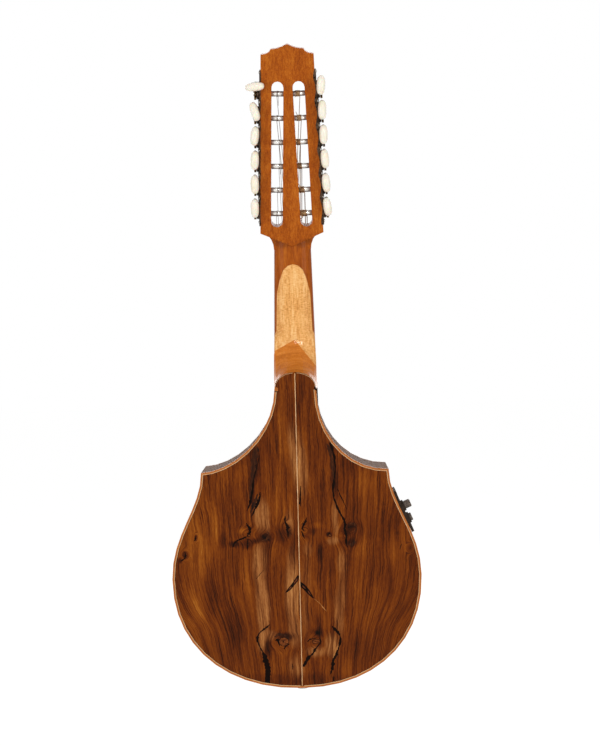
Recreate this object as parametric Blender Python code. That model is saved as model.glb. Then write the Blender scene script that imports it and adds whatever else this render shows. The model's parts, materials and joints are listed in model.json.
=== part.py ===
"""Twelve-string mandolin with a flat back and a pear-shaped body that has two pointed shoulders.

The instrument is upright, with metres as the unit. The origin is at the nut: on the centreline, in the
plane of the soundboard and of the fingerboard's underside. +Z runs up the neck towards the head, +Y
points out of the soundboard and -Y out of the back. +X is the bass side, which holds the preamp.
"""

import math

import bmesh
import bpy
from mathutils import Matrix, Vector

# Clearance between two pieces that touch on the real instrument.
GAP = 0.0003

# Strings and fingerboard.
SCALE_LENGTH = 0.340
BODY_FRET = 12
FRET_COUNT = 19
NUT_HALF_WIDTH = 0.0208
BOARD_TAPER = 0.0235
BOARD_THICKNESS = 0.0055
BOARD_END_Z = -0.231
FRET_WIDTH = 0.0022
FRET_HEIGHT = 0.0010
NUT_LENGTH = 0.0050
NUT_TOP_Y = 0.0068
NUT_DROP = 0.0014
NUT_COURSE_SPACING = 0.0066
NUT_PAIR_HALF_GAP = 0.0010
SADDLE_COURSE_SPACING = 0.0094
SADDLE_PAIR_HALF_GAP = 0.0012
SADDLE_TOP_Y = 0.0100
COURSE_RADII = (0.00025, 0.00025, 0.00030, 0.00035, 0.00042, 0.00050)

# Body outline, as half widths and heights.
JOINT_Z = -SCALE_LENGTH * (1 - 2 ** (-BODY_FRET / 12))
NECK_SIDE_X = 0.0231
POINT_X = {"bass": 0.1010, "treble": 0.1063}
POINT_Z = -0.2591
SHOULDER_POWER = {"bass": 2.06, "treble": 1.80}
BOUT_HALF_WIDTH = {"bass": 0.1350, "treble": 0.1411}
BOUT_Z = -0.3770
TAIL_Z = -0.5012
BOUT_POWER = 2.18
FLANK_PULL = (0.0507, 0.0392)
BODY_DEPTH = 0.0710
PLATE_THICKNESS = 0.0026
RIB_THICKNESS = 0.0024
LINING_WIDTH = 0.0070
LINING_HEIGHT = 0.0100
BINDING_WIDTH = 0.0022
PLATE_INSET = BINDING_WIDTH + GAP
HEEL_CAP_HALF_WIDTH = 0.0226
HEEL_CAP_SIDE_Z = -0.1660
HEEL_CAP_TOP_Z = -0.1500
SOUND_HOLE_RADIUS = 0.0310
SOUND_HOLE_Z = -0.2680

BACK_OUT_Y = -BODY_DEPTH
BACK_IN_Y = BACK_OUT_Y + PLATE_THICKNESS
RIB_BACK_Y = BACK_IN_Y + GAP
RIB_TOP_Y = -PLATE_THICKNESS - GAP
MID_DEPTH_Y = (RIB_BACK_Y + RIB_TOP_Y) / 2

# Blocks inside the body.
NECK_BLOCK_END_Z = -0.2050
TAIL_BLOCK_HALF_WIDTH = 0.0300
TAIL_BLOCK_TOP_Z = -0.4830

# Neck, heel and head.
NECK_DEPTH_AT_NUT = 0.0150
NECK_DEPTH_AT_HEEL = 0.0170
NECK_SIDE_DEPTH = 0.0040
HEEL_START_Z = -0.1155
SQUARE_START_Z = -0.1050
SQUARE_LENGTH = 0.0300
SCARF_BACK_Z = -0.0283
HEAD_ANGLE = math.radians(14.0)
HEAD_THICKNESS = 0.0190
HEAD_THIN_DEPTH = 0.0120
HEAD_HALF_WIDTH_AT_NUT = 0.0361
HEAD_SIDE_TAPER = math.radians(1.95)
HEAD_CORNER_L = 0.2081
HEAD_STEP_L = 0.2136
HEAD_STEP_X = 0.0182
HEAD_CREST_L = 0.2188
HEAD_FOOT_L = 0.0107
HEAD_APEX_L = -0.0048
FLARE_END_L = -0.0100
SLOT_WALL = 0.0120
SLOT_WIDTH = 0.0132
SLOT_LOW_L = 0.0183
SLOT_HIGH_L = 0.1797

# Tuning machines, in the frame of a head's side: x out of the side, y to the front, z along the side.
ROLLER_COUNT = 6
FIRST_ROLLER_L = 0.0322
ROLLER_SPACING = 0.0267
ROLLER_DEPTH = 0.0090
ROLLER_RADIUS = 0.0030
ROLLER_END_X = -0.0284
BORE_RADIUS = 0.0036
BORE_END_X = -0.0288
GEAR_TEETH = 14
GEAR_X = 0.0060
GEAR_THICKNESS = 0.0024
GEAR_TIP_RADIUS = 0.00685
GEAR_ROOT_RADIUS = 0.0052
GEAR_PITCH_RADIUS = 0.0062
TOOTH_TIP_HALF = 0.00028
TOOTH_ROOT_HALF = 0.00078
GEAR_SCREW_RADIUS = 0.0026
GEAR_SCREW_HEIGHT = 0.0011
WORM_OFFSET = 0.0089
WORM_PITCH = 2 * math.pi * GEAR_PITCH_RADIUS / GEAR_TEETH
WORM_TURNS = 2.6
WORM_TIP_RADIUS = 0.0033
WORM_ROOT_RADIUS = 0.0018
THREAD_TIP_WIDTH = 0.0006
THREAD_ROOT_WIDTH = 0.0017
WORM_SHAFT_RADIUS = 0.0015
WORM_SHAFT_START = 0.0010
ROUND_SIDES = 10
PLATE_FIRST_L = 0.0193
PLATE_LAST_L = 0.1916
MACHINE_PLATE_THICKNESS = 0.0012
MACHINE_PLATE_FRONT = 0.0012
MACHINE_PLATE_BACK = 0.0178
EAR_THICKNESS = 0.0012
EAR_HALF_WIDTH = 0.0036
EAR_REACH = 0.0095
EAR_FRONT = 0.0024
EAR_BACK = 0.0147
EAR_BORE_RADIUS = 0.0019
BUTTON_HALF_LENGTH = 0.0105
BUTTON_HALF_THICKNESS = 0.00475
# Height above the head's front face, and share of the full oval, of each ring of a button.
BUTTON_RINGS = (
    (0.0212, 0.30),
    (0.0224, 0.72),
    (0.0255, 1.00),
    (0.0308, 1.00),
    (0.0336, 0.80),
    (0.0345, 0.40),
)
# How far each button is turned from lying along the head, in degrees, from the nut upwards.
BUTTON_TURNS = {
    "bass": (5, 3, 2, -2, -3, -6),
    "treble": (-1, -2, 2, 5, -18, 83),
}

# Bridge.
BRIDGE_HALF_WIDTH = 0.0560
BRIDGE_HALF_LENGTH = 0.0130
BRIDGE_HEIGHT = 0.0075
SADDLE_HALF_WIDTH = 0.0290
SADDLE_THICKNESS = 0.0026
SADDLE_FOOT_Y = 0.0040
ANCHOR_Z = -0.3495
ANCHOR_Y = 0.0086

# Bracing: the back's bars and seam graft, the soundboard's bars, struts and bridge plate.
BAR_HEIGHT = 0.0100
BAR_WIDTH = 0.0060
BACK_BAR_HEIGHTS = (-0.2250, -0.3100, -0.4100)
GRAFT_HALF_WIDTH = 0.0080
GRAFT_THICKNESS = 0.0022
TOP_BAR_HEIGHTS = (-0.2340, -0.3100)
STRUT_X = 0.0345
BRIDGE_PLATE_THICKNESS = 0.0022
STRUT_START_Z = -0.2358
STRUT_END_Z = -0.4450

# Preamp, in the frame of its place on the bass flank.
PREAMP_LOW_Z = -0.3345
PREAMP_HIGH_Z = -0.2845
PREAMP_HALF_HEIGHT = 0.0180
PREAMP_LIP = 0.0030
PREAMP_BOX_HALF_LENGTH = 0.0225
PREAMP_BOX_HALF_HEIGHT = 0.0150
PREAMP_BOX_DEPTH = 0.0280
POT_BORE_RADIUS = 0.0030
POT_BORE_DEPTH = 0.0070
POT_SHAFT_RADIUS = 0.0024
KNOB_SIDES = 16
KNOB_RADIUS = 0.0047
VOLUME_KNOB_ALONG = -0.0012
VOLUME_KNOB_HEIGHT = 0.0094
TONE_KNOB_ALONG = 0.0136
TONE_KNOB_HEIGHT = 0.0056

# Output jack in the tail.
JACK_FLANGE_RADIUS = 0.0075
JACK_OUT = 0.0085
JACK_SLEEVE_RADIUS = 0.0048
JACK_BORE_RADIUS = 0.0033
JACK_DEPTH = 0.0420
JACK_BORE_DEPTH = 0.0300
JACK_HOLE_RADIUS = 0.0052
JACK_SIDES = 16

SIDES = {"bass": 1, "treble": -1}


def clear_scene():
    """Removes everything that the scene holds at the start."""
    for thing in list(bpy.data.objects):
        bpy.data.objects.remove(thing, do_unlink=True)


def finish_of(name, colour, roughness, metallic=0.0):
    """A plain material with a part's colour, roughness and metallic value."""
    made = bpy.data.materials.new(name)
    made.use_nodes = True
    shader = made.node_tree.nodes["Principled BSDF"]
    shader.inputs["Base Color"].default_value = (*colour, 1.0)
    shader.inputs["Roughness"].default_value = roughness
    shader.inputs["Metallic"].default_value = metallic
    return made


def add_object(name, points, faces, material=None, parent=None):
    """Makes one closed mesh object, with its faces turned outwards."""
    mesh = bpy.data.meshes.new(name)
    mesh.from_pydata([tuple(p) for p in points], [], faces)
    work = bmesh.new()
    work.from_mesh(mesh)
    bmesh.ops.recalc_face_normals(work, faces=work.faces)
    work.to_mesh(mesh)
    work.free()
    if material:
        mesh.materials.append(material)
    made = bpy.data.objects.new(name, mesh)
    bpy.context.scene.collection.objects.link(made)
    made.parent = parent
    return made


def add_empty(name, place=(0, 0, 0), turn=(0, 0, 0), parent=None):
    """Makes a frame that pieces are placed in."""
    made = bpy.data.objects.new(name, None)
    made.location = place
    made.rotation_euler = turn
    bpy.context.scene.collection.objects.link(made)
    made.parent = parent
    return made


def combine(piece, other, operation):
    """Cuts the other shape from the piece, or adds it. The other shape is then a hidden helper."""
    other.hide_render = True
    other.display_type = "WIRE"
    change = piece.modifiers.new(f"{operation.lower()}_{other.name}", "BOOLEAN")
    change.operation = operation
    change.object = other
    change.solver = "EXACT"


def round_off(piece):
    """Shades the round faces of a turned piece smooth and keeps its sharp edges."""
    piece.data.shade_smooth()
    piece.data.set_sharp_from_angle(angle=math.radians(40))


def loft(rings):
    """Points and faces of a solid through rings that hold the same number of points."""
    count = len(rings[0])
    points = [p for ring in rings for p in ring]
    faces = [list(range(count)), [(len(rings) - 1) * count + i for i in range(count)]]
    for low in range(0, (len(rings) - 1) * count, count):
        for i in range(count):
            j = (i + 1) % count
            faces.append([low + i, low + j, low + count + j, low + count + i])
    return points, faces


def prism(outline, y_low, y_high):
    """A flat outline of x and z, made as thick as from y_low to y_high."""
    return loft([[(x, y_low, z) for x, z in outline], [(x, y_high, z) for x, z in outline]])


def block(low, high):
    """A box between two corners."""
    outline = [(low[0], low[2]), (high[0], low[2]), (high[0], high[2]), (low[0], high[2])]
    return prism(outline, low[1], high[1])


def circle(radius, sides, turn=0.0):
    """Points on a circle, as pairs."""
    angles = [turn + 2 * math.pi * i / sides for i in range(sides)]
    return [(radius * math.cos(a), radius * math.sin(a)) for a in angles]


def merged(*solids):
    """Points and faces of several solids as one mesh."""
    points, faces = [], []
    for more_points, more_faces in solids:
        start = len(points)
        points += more_points
        faces += [[start + i for i in face] for face in more_faces]
    return points, faces


def quarter_turn(share, power):
    """How far a quarter of a rounded or flattened circle has gone across and along."""
    angle = math.pi / 2 * share
    return max(math.cos(angle), 0.0) ** (2 / power), math.sin(angle) ** (2 / power)


def half_outline(side, shoulder_steps=9, flank_steps=8, bout_steps=11):
    """The body's outline on one side, from the neck down to the tail, as distances out and heights."""
    point_x, widest = POINT_X[side], BOUT_HALF_WIDTH[side]
    points = []
    for i in range(shoulder_steps + 1):
        across, along = quarter_turn(i / shoulder_steps, SHOULDER_POWER[side])
        x = point_x - (point_x - NECK_SIDE_X) * across
        points.append((x, JOINT_Z - (JOINT_Z - POINT_Z) * along))
    ends = (
        (point_x, POINT_Z),
        (point_x, POINT_Z - FLANK_PULL[1]),
        (widest, BOUT_Z + FLANK_PULL[0]),
        (widest, BOUT_Z),
    )
    for i in range(1, flank_steps + 1):
        t = i / flank_steps
        shares = ((1 - t) ** 3, 3 * t * (1 - t) ** 2, 3 * t * t * (1 - t), t**3)
        points.append(tuple(sum(s * p[k] for s, p in zip(shares, ends)) for k in (0, 1)))
    for i in range(1, bout_steps + 1):
        across, along = quarter_turn(i / bout_steps, BOUT_POWER)
        x = widest * across if i < bout_steps else 0.0
        points.append((x, BOUT_Z - (BOUT_Z - TAIL_Z) * along))
    return points


def inset(points, distance):
    """The same run of points, moved into the body by a distance. A negative distance moves it out."""
    moved = []
    for i, point in enumerate(points):
        before, after = points[max(i - 1, 0)], points[min(i + 1, len(points) - 1)]
        normals = []
        for a, b in ((before, point), (point, after)):
            run = Vector((b[0] - a[0], b[1] - a[1]))
            if run.length > 1e-9:
                run.normalize()
                normals.append(Vector((run.y, -run.x)))
        if i == len(points) - 1 and point[0] == 0.0:
            normals = [Vector((0.0, 1.0))]
        middle = sum(normals, Vector((0.0, 0.0))).normalized()
        reach = distance / max(middle.dot(normals[0]), 0.3)
        moved.append((point[0] + middle.x * reach, point[1] + middle.y * reach))
    return moved


def mirrored(points):
    """A run of points on the treble side that matches one on the bass side, in reverse order."""
    return [(-x, z) for x, z in reversed(points)]


def rim_at(distance):
    """The body's whole outline at a distance into it, from the bass side of the neck to the treble side."""
    bass, treble = (inset(half_outline(side), distance) for side in SIDES)
    for run in (bass, treble):
        run[0] = (run[0][0], JOINT_Z - GAP)
    return bass + mirrored(treble[:-1])


def neck_half_width(z):
    """Half the width of the neck and of the fingerboard at a height."""
    return NUT_HALF_WIDTH - BOARD_TAPER * z


def fret_z(number):
    """Where a fret lies."""
    return -SCALE_LENGTH * (1 - 2 ** (-number / 12))


def head_half_width(along):
    """Half the width of the head at a distance from the nut along it."""
    return HEAD_HALF_WIDTH_AT_NUT - along * math.tan(HEAD_SIDE_TAPER)


def build_plates(wood, hole_cutter):
    """The soundboard, and the back's two matched halves with their share of the heel cap."""
    front = add_object(
        "soundboard", *prism(rim_at(PLATE_INSET), -PLATE_THICKNESS, 0.0), wood["spruce"]
    )
    combine(front, hole_cutter, "DIFFERENCE")
    rise = HEEL_CAP_TOP_Z - HEEL_CAP_SIDE_Z
    arch = []
    for i in range(7):
        angle = math.pi / 2 * i / 6
        x = max(HEEL_CAP_HALF_WIDTH * math.sin(angle), GAP / 2)
        arch.append((x, HEEL_CAP_SIDE_Z + rise * math.cos(angle)))
    step = (HEEL_CAP_HALF_WIDTH, JOINT_Z + GAP)
    for side, sign in SIDES.items():
        rim = inset(half_outline(side), PLATE_INSET)
        edge = [(rim[0][0], JOINT_Z + GAP), *rim[1:-1], (GAP / 2, rim[-1][1])]
        outline = [(sign * x, z) for x, z in arch + [step] + edge]
        add_object(f"back_{side}", *prism(outline, BACK_OUT_Y, BACK_IN_Y), wood["walnut"])


def build_bindings(wood):
    """The strips let into the edge of the back and of the soundboard, each bent all the way round."""
    runs = (rim_at(0.0), rim_at(BINDING_WIDTH))
    for name, low, high in (
        ("back_binding", BACK_OUT_Y, BACK_IN_Y),
        ("soundboard_binding", -PLATE_THICKNESS, 0.0),
    ):
        rings = [
            [(a[0], low, a[1]), (a[0], high, a[1]), (b[0], high, b[1]), (b[0], low, b[1])]
            for a, b in zip(*runs)
        ]
        add_object(name, *loft(rings), wood["maple"])


def build_ribs(wood, cutters):
    """The two bent sides, each with the kerfed linings that are glued along its edges."""
    for side, sign in SIDES.items():
        outer = half_outline(side)
        skin = inset(outer, RIB_THICKNESS)
        thin = inset(outer, RIB_THICKNESS + GAP)
        wide = inset(outer, LINING_WIDTH)
        rings = []
        for i, (edge, inside, narrow, lining) in enumerate(zip(outer, skin, thin, wide)):
            at_block = edge[1] > NECK_BLOCK_END_Z or (
                edge[1] < BOUT_Z and edge[0] < TAIL_BLOCK_HALF_WIDTH + LINING_WIDTH
            )
            ledge = narrow if at_block else lining
            section = [
                (edge, RIB_BACK_Y),
                (edge, RIB_TOP_Y),
                (ledge, RIB_TOP_Y),
                (inside, RIB_TOP_Y - LINING_HEIGHT),
                (inside, RIB_BACK_Y + LINING_HEIGHT),
                (ledge, RIB_BACK_Y),
            ]
            ring = []
            for (x, z), y in section:
                x = GAP / 2 if i == len(outer) - 1 else x
                z = JOINT_Z - GAP if i == 0 else z
                ring.append((sign * x, y, z))
            rings.append(ring)
        rib = add_object(f"rib_{side}", *loft(rings), wood["walnut"])
        for cutter in cutters[side]:
            combine(rib, cutter, "DIFFERENCE")


def build_blocks(wood, jack_cutter):
    """The neck block and the tail block, which fill the body from the back to the soundboard."""
    inner = rim_at(RIB_THICKNESS + 2 * GAP)
    beside = [p for p in inner if p[1] > NECK_BLOCK_END_Z]
    last = next(i for i, p in enumerate(beside) if p[0] < 0)
    foot = [(beside[i][0], NECK_BLOCK_END_Z) for i in (last - 1, last)]
    neck = prism(beside[:last] + foot + beside[last:], RIB_BACK_Y, RIB_TOP_Y)
    add_object("neck_block", *neck, wood["cedar"])
    low = [p for p in inner if p[1] < BOUT_Z and abs(p[0]) < TAIL_BLOCK_HALF_WIDTH]
    low = [(low[0][0], TAIL_BLOCK_TOP_Z), *low, (low[-1][0], TAIL_BLOCK_TOP_Z)]
    tail = prism(low, RIB_BACK_Y, RIB_TOP_Y)
    combine(add_object("tail_block", *tail, wood["cedar"]), jack_cutter, "DIFFERENCE")


def across(height, y_low, y_high):
    """A bar across the inside of the body at a height, which ends clear of the linings."""
    reaches = []
    for side in SIDES:
        inner = inset(half_outline(side), LINING_WIDTH + GAP)
        for edge in (height - BAR_WIDTH / 2, height + BAR_WIDTH / 2):
            for a, b in zip(inner, inner[1:]):
                if min(a[1], b[1]) <= edge <= max(a[1], b[1]) and a[1] != b[1]:
                    reaches.append(a[0] + (b[0] - a[0]) * (edge - a[1]) / (b[1] - a[1]))
    reach = min(reaches) - GAP
    return block(
        (-reach, y_low, height - BAR_WIDTH / 2), (reach, y_high, height + BAR_WIDTH / 2)
    )


def build_bracing(wood, hole_cutter):
    """The glued lattice under the back, and the one under the soundboard."""
    on_back, on_top = RIB_BACK_Y, RIB_TOP_Y
    graft_low = (-GRAFT_HALF_WIDTH, on_back, TAIL_BLOCK_TOP_Z + GAP)
    graft_high = (GRAFT_HALF_WIDTH, on_back + GRAFT_THICKNESS, NECK_BLOCK_END_Z - GAP)
    bracing = add_object("back_bracing", *block(graft_low, graft_high), wood["cedar"])
    for i, height in enumerate(BACK_BAR_HEIGHTS):
        bar = add_object(f"back_bar_{i + 1}", *across(height, on_back, on_back + BAR_HEIGHT))
        combine(bracing, bar, "UNION")
    plate_low = (-BRIDGE_HALF_WIDTH, on_top - BRIDGE_PLATE_THICKNESS, -SCALE_LENGTH - BRIDGE_HALF_LENGTH)
    plate_high = (BRIDGE_HALF_WIDTH, on_top, -SCALE_LENGTH + BRIDGE_HALF_LENGTH)
    bracing = add_object("soundboard_bracing", *block(plate_low, plate_high), wood["cedar"])
    for i, height in enumerate(TOP_BAR_HEIGHTS):
        bar = add_object(f"top_bar_{i + 1}", *across(height, on_top - BAR_HEIGHT, on_top))
        combine(bracing, bar, "UNION")
    for side, sign in SIDES.items():
        near, far = sorted((sign * STRUT_X - BAR_WIDTH / 2, sign * STRUT_X + BAR_WIDTH / 2))
        strut = block((near, on_top - BAR_WIDTH, STRUT_END_Z), (far, on_top, STRUT_START_Z))
        combine(bracing, add_object(f"strut_{side}", *strut), "UNION")
    combine(bracing, hole_cutter, "DIFFERENCE")


def neck_depth(z):
    """How deep the neck's wood is on the centreline at a height."""
    share = min(max(z / HEEL_START_Z, 0.0), 1.0)
    return NECK_DEPTH_AT_NUT + (NECK_DEPTH_AT_HEEL - NECK_DEPTH_AT_NUT) * share


def neck_ring(z, round_points=12):
    """The neck's section at a height: flat in front, upright at the sides, round behind.

    Along the heel the round back turns square, so that it fills the neck down to the stacked joint.
    """
    width, depth = neck_half_width(z), neck_depth(z)
    power = 2 + 10 * min(max((SQUARE_START_Z - z) / SQUARE_LENGTH, 0.0), 1.0)
    ring = [(width, 0.0, z)]
    for i in range(round_points + 1):
        across, deep = quarter_turn(1 - abs(1 - 2 * i / round_points), power)
        x = math.copysign(width * across, 1 - 2 * i / round_points)
        ring.append((x, -NECK_SIDE_DEPTH - (depth - NECK_SIDE_DEPTH) * deep, z))
    ring.append((-width, 0.0, z))
    return ring


def neck_solid(name, heights):
    """The neck's whole round shape between heights, as a helper or a piece."""
    return add_object(name, *loft([neck_ring(z) for z in heights]))


def scarf_wedge(name, shift):
    """Everything on the head's side of the scarf joint, as a helper. The shift moves the joint along Z."""
    depth, slope = neck_depth(SCARF_BACK_Z), math.tan(HEAD_ANGLE)
    past = 0.030
    back = (-depth - past, SCARF_BACK_Z + shift + past / slope)
    front = (past, SCARF_BACK_Z + shift - (depth + past) / slope)
    top = 0.300
    rings = [[(x, *back), (x, *front), (x, past, top), (x, back[0], top)] for x in (-0.05, 0.05)]
    return add_object(name, *loft(rings))


def build_neck(wood):
    """The shaft, cut to the scarf joint, and the heel that is stacked under it."""
    square = [SQUARE_START_Z - SQUARE_LENGTH * i / 4 for i in range(5)]
    shaft = neck_solid("neck_shaft", (-0.012, *square, JOINT_Z + GAP))
    shaft.data.materials.append(wood["cedar"])
    combine(shaft, scarf_wedge("scarf_cutter", -GAP / math.tan(HEAD_ANGLE)), "DIFFERENCE")
    rings = []
    top, foot = -NECK_DEPTH_AT_HEEL - GAP, BACK_IN_Y + GAP
    steps = 8
    for i in range(steps + 1):
        share = (i / steps) ** 2
        y = top + (foot - top) * share
        apex = HEEL_START_Z + (HEEL_CAP_TOP_Z - HEEL_START_Z) * (1 - (1 - share) ** 2.4) ** 0.62
        drop = HEEL_CAP_TOP_Z - HEEL_CAP_SIDE_Z
        places = [(1.0, JOINT_Z + GAP)]
        for k in range(9):
            angle = math.pi * k / 8
            places.append((math.cos(angle), apex - drop * (1 - math.sin(angle))))
        places.append((-1.0, JOINT_Z + GAP))
        ring = []
        for across, z in places:
            width = neck_half_width(z) + (HEEL_CAP_HALF_WIDTH - neck_half_width(z)) * share
            ring.append((across * width, y, z))
        rings.append(ring)
    add_object("heel", *loft(rings), wood["heel"])


def head_outline():
    """The head's outline in its own plane, from the foot of the bass side up over the crest and down."""
    right = [(head_half_width(HEAD_FOOT_L), HEAD_FOOT_L), (head_half_width(HEAD_CORNER_L), HEAD_CORNER_L)]
    corner_x = head_half_width(HEAD_CORNER_L)
    for i in range(1, 4):
        angle = math.pi / 2 * i / 3
        x = corner_x - (corner_x - HEAD_STEP_X) * math.sin(angle)
        right.append((x, HEAD_STEP_L - (HEAD_STEP_L - HEAD_CORNER_L) * math.cos(angle)))
    for i in range(1, 4):
        share = i / 3
        right.append((HEAD_STEP_X * (1 - share), HEAD_STEP_L + (HEAD_CREST_L - HEAD_STEP_L) * share**2))
    return right + mirrored(right[:-1])


def flare_outline():
    """The thin front part of the head, with the curves that draw it in to the neck's width."""
    neck_x = neck_half_width(FLARE_END_L)
    foot_x = head_half_width(HEAD_FOOT_L)
    side = []
    for i in range(6):
        angle = math.pi / 2 * i / 5
        x = foot_x - (foot_x - neck_x) * math.cos(angle)
        side.append((x, FLARE_END_L + (HEAD_FOOT_L - FLARE_END_L) * math.sin(angle)))
    side.append((head_half_width(SLOT_LOW_L), SLOT_LOW_L))
    return side + mirrored(side)


def slot_solid(side_name, frame):
    """The cutter of one string slot, a straight slot with round ends along the head's side."""
    middle = -SLOT_WALL - SLOT_WIDTH / 2
    radius = SLOT_WIDTH / 2
    outline = []
    for centre, start in ((SLOT_HIGH_L - radius, 0.0), (SLOT_LOW_L + radius, math.pi)):
        for i in range(7):
            angle = start + math.pi * i / 6
            outline.append((middle + radius * math.cos(angle), centre + radius * math.sin(angle)))
    sign = SIDES[side_name]
    outline = [(sign * x, z) for x, z in outline]
    solid = prism(outline, -HEAD_THICKNESS - 0.01, 0.01)
    return add_object(f"slot_cutter_{side_name}", *solid, parent=frame)


def roller_heights():
    """Where the rollers lie along the head's side, from the nut upwards."""
    return [FIRST_ROLLER_L + ROLLER_SPACING * i for i in range(ROLLER_COUNT)]


def roller_bores(side_name, frame):
    """The cutter of the six roller holes of one side."""
    sign = SIDES[side_name]
    solids = []
    for height in roller_heights():
        rings = [
            [(sign * x, -ROLLER_DEPTH + a, height + b) for a, b in circle(BORE_RADIUS, ROUND_SIDES)]
            for x in (0.004, BORE_END_X)
        ]
        solids.append(loft(rings))
    return add_object(f"roller_bores_{side_name}", *merged(*solids), parent=frame)


def worm_bores(side_name, frame):
    """The cutter of the six worm shaft holes in one machine plate's ears."""
    sign = SIDES[side_name]
    solids = []
    for height in roller_heights():
        rings = [
            [
                (sign * GEAR_X + a, y, height + WORM_OFFSET + b)
                for a, b in circle(EAR_BORE_RADIUS, ROUND_SIDES)
            ]
            for y in (0.0, -HEAD_THICKNESS)
        ]
        solids.append(loft(rings))
    return add_object(f"worm_bores_{side_name}", *merged(*solids), parent=frame)


def build_head(wood, head_frame, side_frames):
    """The slotted head with its share of the neck, one piece of wood down to the scarf joint."""
    slab_low = [(head_half_width(HEAD_FOOT_L), HEAD_FOOT_L)]
    slab = head_outline() + [(0.0, HEAD_APEX_L)]
    slab[0] = slab_low[0]
    head = add_object("head", *prism(slab, -HEAD_THICKNESS, 0.0), wood["mahogany"], head_frame)
    thin = add_object(
        "head_flare", *prism(flare_outline(), -HEAD_THIN_DEPTH, 0.0), parent=head_frame
    )
    combine(head, thin, "UNION")
    stub = neck_solid("neck_stub", (0.0, -0.060, -0.098))
    combine(stub, scarf_wedge("scarf_keeper", 0.0), "INTERSECT")
    combine(head, stub, "UNION")
    for side, frame in side_frames.items():
        combine(head, slot_solid(side, frame), "DIFFERENCE")
        combine(head, roller_bores(side, frame), "DIFFERENCE")
    level = add_object("board_plane", *block((-0.05, 0.0, -0.15), (0.05, 0.02, -0.0001)))
    combine(head, level, "DIFFERENCE")


def build_machine_plate(side_name, frame, metal):
    """One machine plate, with two ears for each of its six worms."""
    sign = SIDES[side_name]

    def boxed(x_low, x_high, n_low, n_high, l_low, l_high):
        near, far = sorted((sign * x_low, sign * x_high))
        return block((near, -n_high, l_low), (far, -n_low, l_high))

    base_x = (GAP, GAP + MACHINE_PLATE_THICKNESS)
    base = boxed(*base_x, MACHINE_PLATE_FRONT, MACHINE_PLATE_BACK, PLATE_FIRST_L, PLATE_LAST_L)
    plate = add_object(f"machine_plate_{side_name}", *base, metal, frame)
    ears = []
    for height in roller_heights():
        worm = height + WORM_OFFSET
        for start in (EAR_FRONT, EAR_BACK):
            reach = (GAP + MACHINE_PLATE_THICKNESS / 2, EAR_REACH)
            width = (worm - EAR_HALF_WIDTH, worm + EAR_HALF_WIDTH)
            ears.append(boxed(*reach, start, start + EAR_THICKNESS, *width))
    combine(plate, add_object(f"ears_{side_name}", *merged(*ears), parent=frame), "UNION")
    combine(plate, bpy.data.objects[f"roller_bores_{side_name}"], "DIFFERENCE")
    combine(plate, worm_bores(side_name, frame), "DIFFERENCE")


def worm_point(along, radius, angle):
    """A point on the worm shaft's surface. The shaft runs out of the back of the head."""
    return (radius * math.cos(angle), -along, radius * math.sin(angle))


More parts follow.
